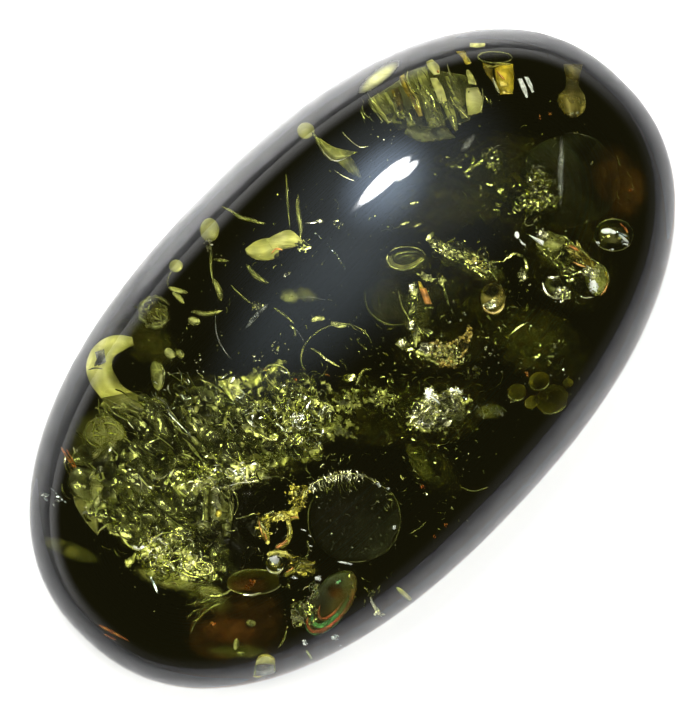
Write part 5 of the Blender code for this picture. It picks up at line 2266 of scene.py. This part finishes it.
def lower_discs(stuff):
    """The dark discs, the crumpled golden frame and the fringe at the lower middle."""
    area = Region("lower_discs", stuff, 19)
    area.discs("veil", {
        "big disc": ((355, 519), (45, 44), 0, 30, (0.12, -0.05)),
    }, 0.25, 0.006)
    area.strips("film", {
        "arch's inside": (
            ((206, 488), (204, 504), (203, 521)), ((222, 487), (230, 500), (229, 520)), 13, 0.55, 0.4,
        ),
        "below the arch": (
            ((190, 524), (199, 533), (211, 542)), ((206, 520), (216, 527), (224, 532)), 14, 0.6, 0.4,
        ),
        "arch's foot": (
            ((222, 524), (222, 536), (216, 548)), ((231, 522), (231, 534), (226, 545)), 13, 0.5, 0.4,
        ),
    }, 0.1, 0.2)
    area.strips("leaf", {
        "arch": (
            ((191, 512), (192, 496), (197, 485), (208, 479), (222, 481), (231, 491), (234, 505), (232, 524)),
            ((196, 510), (197, 497), (202, 489), (210, 484), (220, 486), (227, 494), (229, 506), (228, 522)),
            10, 0.65, 0.45,
        ),
        "arch's inner leg": (
            ((205, 486), (203, 503), (202, 521)), ((209, 487), (208, 503), (208, 520)), 9, 0.7, 0.8,
        ),
    }, 0.1, 0.3)
    area.threads("crackle", 6, {
        "arch's bright line": (1.2, (205.5, 488), (204, 503), (203, 520)),
        "arch's top": (0.7, (197, 488), (206, 480), (218, 480), (228, 486)),
        "arch's right": (0.7, (221, 491), (228, 499), (232, 507), (231, 514)),
        "arch's far right": (0.6, (226, 484), (234, 492), (238, 504), (234, 516)),
        "block's line": (0.9, (236, 519), (247, 516), (253, 513.5), (257, 515)),
        "block's line 2": (0.6, (264, 515), (269, 513), (274, 511)),
        "block's specks": (0.9, (228, 531), (232, 531), (236, 530)),
    })
    area.balls("gold", 7, {"arch's ball": ((218.5, 513.5), (3.4, 4.2), -20)})
    area.balls("pale", 7, {"arch's dot": ((212.5, 502.5), (2.0, 1.6), 0)})
    area.beads("crackle", (8, 12), (0.7, 1.5), {
        "dark disc's dotted edge": (16, (255, 495), (258, 489), (262, 486)),
        "dark disc's far edge": (14, (262, 486), (276, 476), (285, 478), (293, 484)),
    })
    area.arcs("film", 24, {
        "big disc's right rim": (0.35, (355, 519), (45.5, 44.5), 0, -50, 40),
        "big disc's left rim": (0.35, (352, 519), (44, 44), 0, 150, 215),
        "dark disc's rim": (0.6, (274, 494), (18.5, 17.5), 0, 60, 200),
    })
    area.arcs("crackle", 12, {"big disc's lower glint": (0.5, (355, 519), (44, 43), 0, 262, 285)}, flat=0.5)
    area.blades("pale", {
        "fringe": ((322, 483), (19, 4.5), 28, 46, (2.5, 6), (8, 14), 108),
        "fringe's right": ((350, 476), (16, 4.5), -4, 44, (2.5, 6.5), (8, 14), 98),
        "fringe's end": ((372, 481), (10, 2.5), -30, 14, (1.5, 3.5), (8, 14), 120),
    }, (0.06, 0.12), 0.15, 0.15)
    area.blades(
        "film", {"fringe's back": ((335, 484), (34, 8), 8, 40, (3, 7), (16, 26), 100)}, (0.08, 0.16), 0.2,
        0.3,
    )
    area.threads("crackle", 13, {
        "fringe's line": (
            0.8, (304, 493), (314, 483), (328, 477), (345, 474), (362, 475), (378, 484), (389, 490),
        ),
    })
    area.bits("glint", (5, 9), (1.0, 2.2), {
        "cyan glint 1": ((379, 485), (2.5, 2), 0, 5),
        "cyan glint 2": ((387, 489), (2, 1.5), 0, 3),
        "disc's glint": ((394, 527), (1.5, 3), 0, 4),
    })
    area.strips("yellow", {
        "frame's left": (
            ((259, 518), (260, 527), (263, 537), (267, 545)),
            ((271, 519), (269, 526), (269, 534), (270, 543)),
            11, 1.1, 0.8,
        ),
        "frame's top": (
            ((261, 523), (272, 521), (283, 518), (299, 519.5)),
            ((262, 517), (272, 515), (283, 511), (298, 514)),
            10, 1.0, 1.0,
        ),
        "frame's shoulder": (
            ((282, 514), (290, 509), (295, 503)), ((292, 517), (299, 512), (304, 505)), 13, 0.6, 0.5,
        ),
        "frame's riser": (
            ((289, 485), (292, 495), (293, 506)), ((298, 487), (299, 495), (300, 507)), 11, 1.1, 0.6,
        ),
        "frame's riser 2": (
            ((302, 485), (302, 495), (298, 508)), ((308, 486), (306, 496), (304, 507)), 11, 0.9, 0.6,
        ),
        "loop's right": (
            ((285, 519), (288, 531), (285, 541), (279, 546)),
            ((289.5, 519), (292.5, 531), (289, 543), (282, 549)),
            10, 0.9, 0.7,
        ),
        "bubble's roof": (
            ((267, 553), (276, 550), (287, 551)), ((268, 557), (276, 556), (288, 558)), 11, 0.8, 0.6,
        ),
        "line to the right": (
            ((285, 552), (298, 560), (314, 562)), ((287, 557), (297, 566), (311, 569)), 15, 0.4, 0.3,
        ),
        "line below": (
            ((283, 574), (292, 567), (300, 561)), ((286, 577), (296, 571), (304, 565)), 14, 0.5, 0.4,
        ),
    }, 0.15, 0.2)
    area.sheets("gold", {
        "frame's left": ((263.5, 527), (6, 11), 10, 10, 0.5),
        "frame's top": ((281, 516), (13, 4), 8, 9, 0.5),
        "frame's riser": ((299, 495), (9, 10), 60, 10, 0.5),
        "bubble's roof": ((276, 554), (10, 3), 0, 12, 0.4),
        "brown patch": ((302, 568), (10, 7), 0, 18, 0.4),
    }, (9, 6), 0.4, 0.55, 1.1)
    area.threads("gold", 10, {
        "frame's top": (2.6, (260, 522), (270, 520), (280, 515), (290, 518), (298, 519)),
        "frame's left": (2.6, (260, 520), (262, 528), (265, 536), (267, 541)),
        "loop's right": (2.4, (288, 521), (290.5, 531), (287, 542), (281, 546)),
        "riser 1": (1.4, (291, 488), (294, 494), (292, 502)),
        "riser 2": (1.4, (305, 487), (304, 495), (300, 506)),
        "line to the right": (0.9, (284, 551), (292, 556), (300, 559)),
        "line under it": (0.9, (287, 571), (294, 566), (300, 560)),
    }, flat=0.5, wobble=0.6)
    # painted highlights along the frame's edges
    area.threads("cream", 8, {
        "frame's gleam 1": (1.4, (260, 521), (263, 526), (267, 530)),
        "frame's gleam 2": (1.3, (276, 517), (281, 515), (284, 517)),
        "riser's gleam": (1.5, (295, 491), (296, 494), (297, 497)),
        "riser's gleam 2": (1.4, (304, 491), (304.5, 494), (304, 498)),
        "loop's gleam": (0.9, (289, 524), (290, 530), (289, 536)),
    }, flat=0.5)
    area.threads("glint", 8, {
        "glassy dash": (0.8, (300.5, 529), (303, 530), (307, 531)),
        "glassy dash 2": (0.5, (308, 535), (310, 536), (312, 537)),
        "glassy dash 3": (0.5, (309, 545), (311, 546), (313, 546)),
        "bubble's second gleam": (1.1, (277, 569), (279.5, 570), (282, 570)),
    })
    area.curls("crackle", {
        "frame's left": ((264, 528), (7, 12), 0, 14, (2, 6), (6, 12)),
        "riser": ((298, 498), (9, 14), 0, 18, (2, 6), (6, 12)),
        "foot": ((284, 562), (20, 10), 0, 30, (2, 7), (6, 12)),
    }, (0.25, 0.6))
    area.threads("amber_chip", 8, {
        "orange edge 1": (1.8, (288, 540), (281, 545), (275, 549)),
        "orange edge 5": (0.6, (259, 519), (260, 527), (263, 536)),
        "orange edge 2": (0.8, (290, 518), (295, 517), (299, 518)),
        "orange edge 3": (0.9, (264, 533), (266, 537), (266, 541)),
        "orange edge 4": (0.8, (286, 572), (290, 570), (294, 567)),
    })
    area.balls("bubble", 17, {"bubble": ((275, 563), (10, 9), 0)}, squash=0.6)
    # painted highlight on the bubble, with pale rims as painted reflections
    area.sheets("glint", {
        "bubble's highlight": ((274.7, 560), (5.0, 3.8), -10, 6, 0.15),
    }, (9, 6), 0.1, 0.0, 1.0)
    area.arcs("pale", 8, {
        "bubble's lower rim": (1.3, (275, 564), (9, 9), 0, 200, 340),
        "bubble's upper rim": (0.7, (275, 564), (9, 8.5), 0, 30, 150),
    })
    area.beads("film", (10, 14), (0.9, 1.7), {
        "bead chain": (20, (307, 541), (309, 549), (307, 558)),
        "chain to the lens": (30, (316, 577), (313, 588), (317, 594), (309, 600), (303, 606)),
    })
    area.bits("pale", (6, 16), (0.6, 1.6), {"specks": ((330, 520), (80, 50), 0, 46)})
    area.blades("crackle", {
        "scatter": ((300, 470), (70, 16), 10, 60, (1.5, 6), (12, 34), 10),
        "right of it": ((420, 500), (50, 40), -30, 34, (1.5, 5), (16, 40), -30),
    }, (0.1, 0.35))
    area.make()


def lower_rim(stuff):
    """The lens, the brown dome, the rainbow lens and the pieces that show in the rim band below."""
    area = Region("lower_rim", stuff, 20)
    area.discs("coin", {"lens": ((254, 582), (27, 13), 2, 24, (0.05, 0.25))}, 0.3, 0.01)
    area.arcs("crackle", 14, {
        "lens's lower rim": (0.9, (254, 582), (28, 12.5), 2, 195, 345),
        "lens's fold": (1.6, (215, 584), (18, 12), 2, 250, 330),
    }, flat=0.5)
    area.threads("pale", 12, {"lens's bright rim": (1.5, (242, 594.4), (252, 595), (261, 592.5))})
    area.arcs("leaf", 15, {"lens's upper rim": (0.9, (254, 582), (27, 12.5), 2, 20, 160)})
    area.bits("ember", (12, 18), (1.0, 2.6), {
        "lens's crumb": ((252, 583), (3.5, 3), 0, 9),
        "lens's crumb 2": ((246, 587), (3, 2), 0, 5),
        "dome's dot": ((212.5, 624), (2.5, 2), 0, 5),
    })
    area.patches("rust", {
        "dome": ((238, 626), (62, 44), 2, 34),
    })
    area.patches("glow", {
        "brown glow": ((230, 631), (34, 15), 0, 24),
        "lens's brown": ((249, 585), (20, 8), 0, 18),
    }, 2.0)
    area.arcs("leaf", 18, {
        "dome's upper rim": (0.7, (238, 640), (48, 40), 5, 100, 165),
        "dome's golden edge": (1.2, (238, 632), (48, 31), 3, -35, 0),
    }, flat=0.5)
    area.blades("leaf", {
        "upper haze": ((208, 588), (26, 16), -20, 34, (3, 9), (12, 26), 20),
        "left haze": ((192, 612), (10, 12), 60, 14, (3, 8), (12, 24), 50),
    }, (0.05, 0.15), 0.25, 0.4)
    area.patches("haze", {
        "fold": ((210, 592), (18, 9), -30, 16),
    }, 2.0)
    area.patches("olive", {
        "foot's haze": ((238, 651), (34, 8), -2, 22),
        "upper haze": ((204, 594), (34, 16), -30, 26),
        "right haze": ((302, 568), (20, 12), -10, 26),
    }, 2.0)
    area.leaves("leaf", 12, {
        "pale upright": ((236, 644), 6, 2.8, 80),
        "coin": ((251, 624), 5, 3.5, 0),
        "small smear": ((240.5, 653), 4, 2, 0),
    }, flat=0.4)
    area.threads("gold", 12, {
        "jar's top": (1.4, (256, 664), (259, 657), (266, 655), (273, 658), (275, 664)),
        "jar's foot": (1.0, (252, 676), (263, 677), (275, 674)),
    })
    area.strips("cream", {
        "jar's top": (
            ((256, 660), (262, 655), (270, 655), (275, 660)),
            ((256, 665), (262, 664), (270, 664), (275, 665)),
            11, 0.55, 0.5,
        ),
    }, 0.1, 0.2)
    area.strips("grey", {
        "jar's glass": (
            ((256, 665), (255, 671), (253, 676)), ((275, 665), (275, 671), (276, 675)), 14, 0.8, 0.9,
        ),
    }, 0.1, 0.2)
    area.threads("leaf", 12, {
        "jar's side 1": (0.9, (256, 663), (255, 670), (254, 676)),
        "jar's side 2": (0.9, (274, 663), (275, 669), (275, 674)),
    })
    area.sheets("crackle", {
        "crumpled green": ((303, 613), (13, 12), 0, 16, 0.6),
        "upper crumple": ((199, 571), (15, 7), 0, 12, 0.6),
    }, (12, 7, 4), 0.35, 0.3, 1.6)
    area.curls("pale", {
        "crumpled green": ((300, 616), (10, 9), 0, 14, (3, 9), (7, 12)),
        "chain": ((314, 590), (7, 16), 0, 14, (2, 6), (7, 12)),
    }, (0.4, 0.7))
    area.discs("opal", {"rainbow lens": ((331, 602), (37, 19), 55, 22, (0.05, 0.1))}, 0.3, 0.0)
    area.arcs("band_red", 16, {
        "lens's red band": (1.6, (331, 602), (35, 16), 55, 130, 300),
        "lens's inner red band": (1.2, (333, 600), (22, 9), 55, 120, 290),
    }, flat=0.4)
    area.arcs("band_green", 17, {
        "lens's green band": (2.4, (332, 601), (29, 12.5), 55, 130, 300),
        "lens's outer green band": (0.8, (331, 602), (37, 18.5), 55, 150, 260),
    }, flat=0.4)
    area.patches("glow", {"lens's red patch": ((336, 592), (8, 10), 55, 14)}, 1.6)
    area.bits("spark_green", (5, 8), (1.4, 2.4), {"green dot": ((338.5, 582), (1.6, 1.6), 0, 4)})
    area.bits("glint", (4.2, 7), (1.2, 2.8), {
        "glint 1": ((305, 643), (3, 2), 0, 8),
        "glint 2": ((336, 637), (4.0, 3.5), 0, 16),
        "glint 3": ((341, 647), (3, 1.5), 20, 5),
        "glint 4": ((320, 577.5), (5, 1.8), 10, 8),
        "glint 5": ((294, 577.5), (3.5, 1.6), -10, 6),
    })
    area.leaves("glint", 6, {"white line": ((345, 563), 8, 1.0, -10)})
    area.bits("crackle", (5, 9), (1.4, 3.2), {
        "glint 6": ((371, 594), (4, 3.5), 0, 9),
        "glint 7": ((287, 586), (2.5, 2.5), 0, 5),
    })
    area.bits("pale", (5, 9), (1.4, 3.4), {"glint 8": ((379, 613), (5, 4), -40, 12)})
    area.threads("pale", 8, {
        "cone 1": (1.8, (370, 596), (374, 606), (382, 617)),
        "cone 2": (1.3, (386, 622), (391, 618), (396, 614)),
    })
    area.threads("cream", 9, {
        "pale stick": (2.6, (396, 587), (404, 594), (413, 602)),
        "thin stick": (1.0, (306, 650), (310, 656), (313, 661)),
    }, flat=0.4)
    area.blades("crackle", {
        "round the lens": ((360, 590), (36, 22), 20, 26, (1.5, 5), (8, 24), None),
        "upper crumple": ((202, 572), (20, 10), 0, 40, (2, 6), (8, 18), 10),
    }, (0.15, 0.4))
    area.make()


def lower_right(stuff):
    """The coins, the dim leaf and the small marks in the dark lower right."""
    area = Region("lower_right", stuff, 21)
    area.discs("coin", {
        "coin 1": ((517, 392), (9.5, 8.5), 10, 18, (0.1, 0.1)),
        "coin 2": ((539, 381), (10.5, 9), 20, 16, (-0.1, 0.1)),
        "coin 3": ((552, 399), (17, 14), 25, 20, (0.1, 0.15)),
        "coin 4": ((568, 383), (5.5, 4.5), 0, 14, (0.2, 0.0)),
        "coin 5": ((532, 402), (8, 6), 30, 22, (0.1, 0.0)),
    }, 0.3, 0.02)
    area.arcs("leaf", 12, {
        "coin 3's bright edge": (0.9, (552, 399), (17, 14), 25, 210, 310),
        "coin 2's edge": (0.5, (539, 381), (10.5, 9), 20, 180, 330),
        "coin 1's edge": (0.7, (517, 392), (9.5, 8.5), 10, 180, 310),
    }, flat=0.5)
    area.bits("ember", (8, 14), (0.9, 2.2), {
        "red dot": ((526, 374), (2.5, 2.5), 0, 6),
        "red dot 2": ((434, 537), (1.6, 1.6), 0, 3),
        "red dot 3": ((446, 525), (1.6, 1.6), 0, 3),
        "leaf's spot": ((423, 487), (2.5, 2), 0, 6),
        "lower dots": ((470, 560), (50, 20), 40, 8),
    })
    area.patches("olive", {"dim leaf's lit side": ((420, 462), (26, 9), -58, 40)})
    area.patches("smoke", {
        "dim leaf": ((432, 468), (40, 22), -50, 46),
        "ground": ((540, 345), (60, 40), -30, 50),
    })
    area.blades("crackle", {
        "olive haze": ((550, 350), (20, 16), 0, 26, (1, 5), (10, 26), 30),
        "scatter": ((500, 330), (30, 24), 0, 26, (1, 4), (14, 34), -40),
        "coins' scatter": ((540, 392), (34, 24), 0, 16, (1, 3.5), (10, 26), 30),
    }, (0.12, 0.4))
    area.bits("pale", (6, 14), (0.7, 1.8), {
        "haze's glint": ((555, 345), (2.5, 2), 0, 5),
        "leaf's white": ((425, 494), (2, 1.5), 0, 4),
        "scatter": ((530, 370), (50, 46), 0, 22),
    })
    area.threads("leaf", 12, {
        "smile line": (0.7, (460, 487), (474, 491), (488, 487)),
        "pale arc": (0.7, (409, 534), (418, 529), (426, 522)),
    })
    area.make()


def deep_stone(stuff):
    """What lies all through the stone: tiny specks, slivers and hairs."""
    area = Region("deep", stuff, 22)
    area.bits("pale", (5, 40), (0.35, 0.9), {"specks": (STONE_MIDDLE, (340, 180), 46, 420)})
    area.bits("crackle", (6, 60), (0.5, 1.8), {"grains": (STONE_MIDDLE, (330, 175), 46, 380)})
    area.blades("crackle", {
        "slivers": (STONE_MIDDLE, (320, 160), 46, 130, (1, 4), (12, 60), None),
    }, (0.08, 0.3))
    area.curls(
        "film", {"hairs": (STONE_MIDDLE, (310, 150), 46, 70, (4, 16), (20, 70))}, (0.25, 0.45), (30, 110),
    )
    area.make()


def make_inclusions():
    stuff = make_materials()
    for area in (
        left_crackle, left_edge, upper_left, top_fan, upper_right, centre_right, foil_cluster, big_right,
        lower_discs, lower_rim, lower_right, deep_stone,
    ):
        area(stuff)


def main():
    bpy.context.scene.view_settings.view_transform = "Standard"
    make_camera()
    make_world()
    make_floor()
    make_mirrored_room()
    make_rim_lamp()
    for name, lean, turn, size, radiance in SOFTBOXES:
        make_softbox(name, math.radians(lean), math.radians(turn), size, radiance)
    stone = make_stone()
    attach(stone, "root")
    make_inclusions()


main()
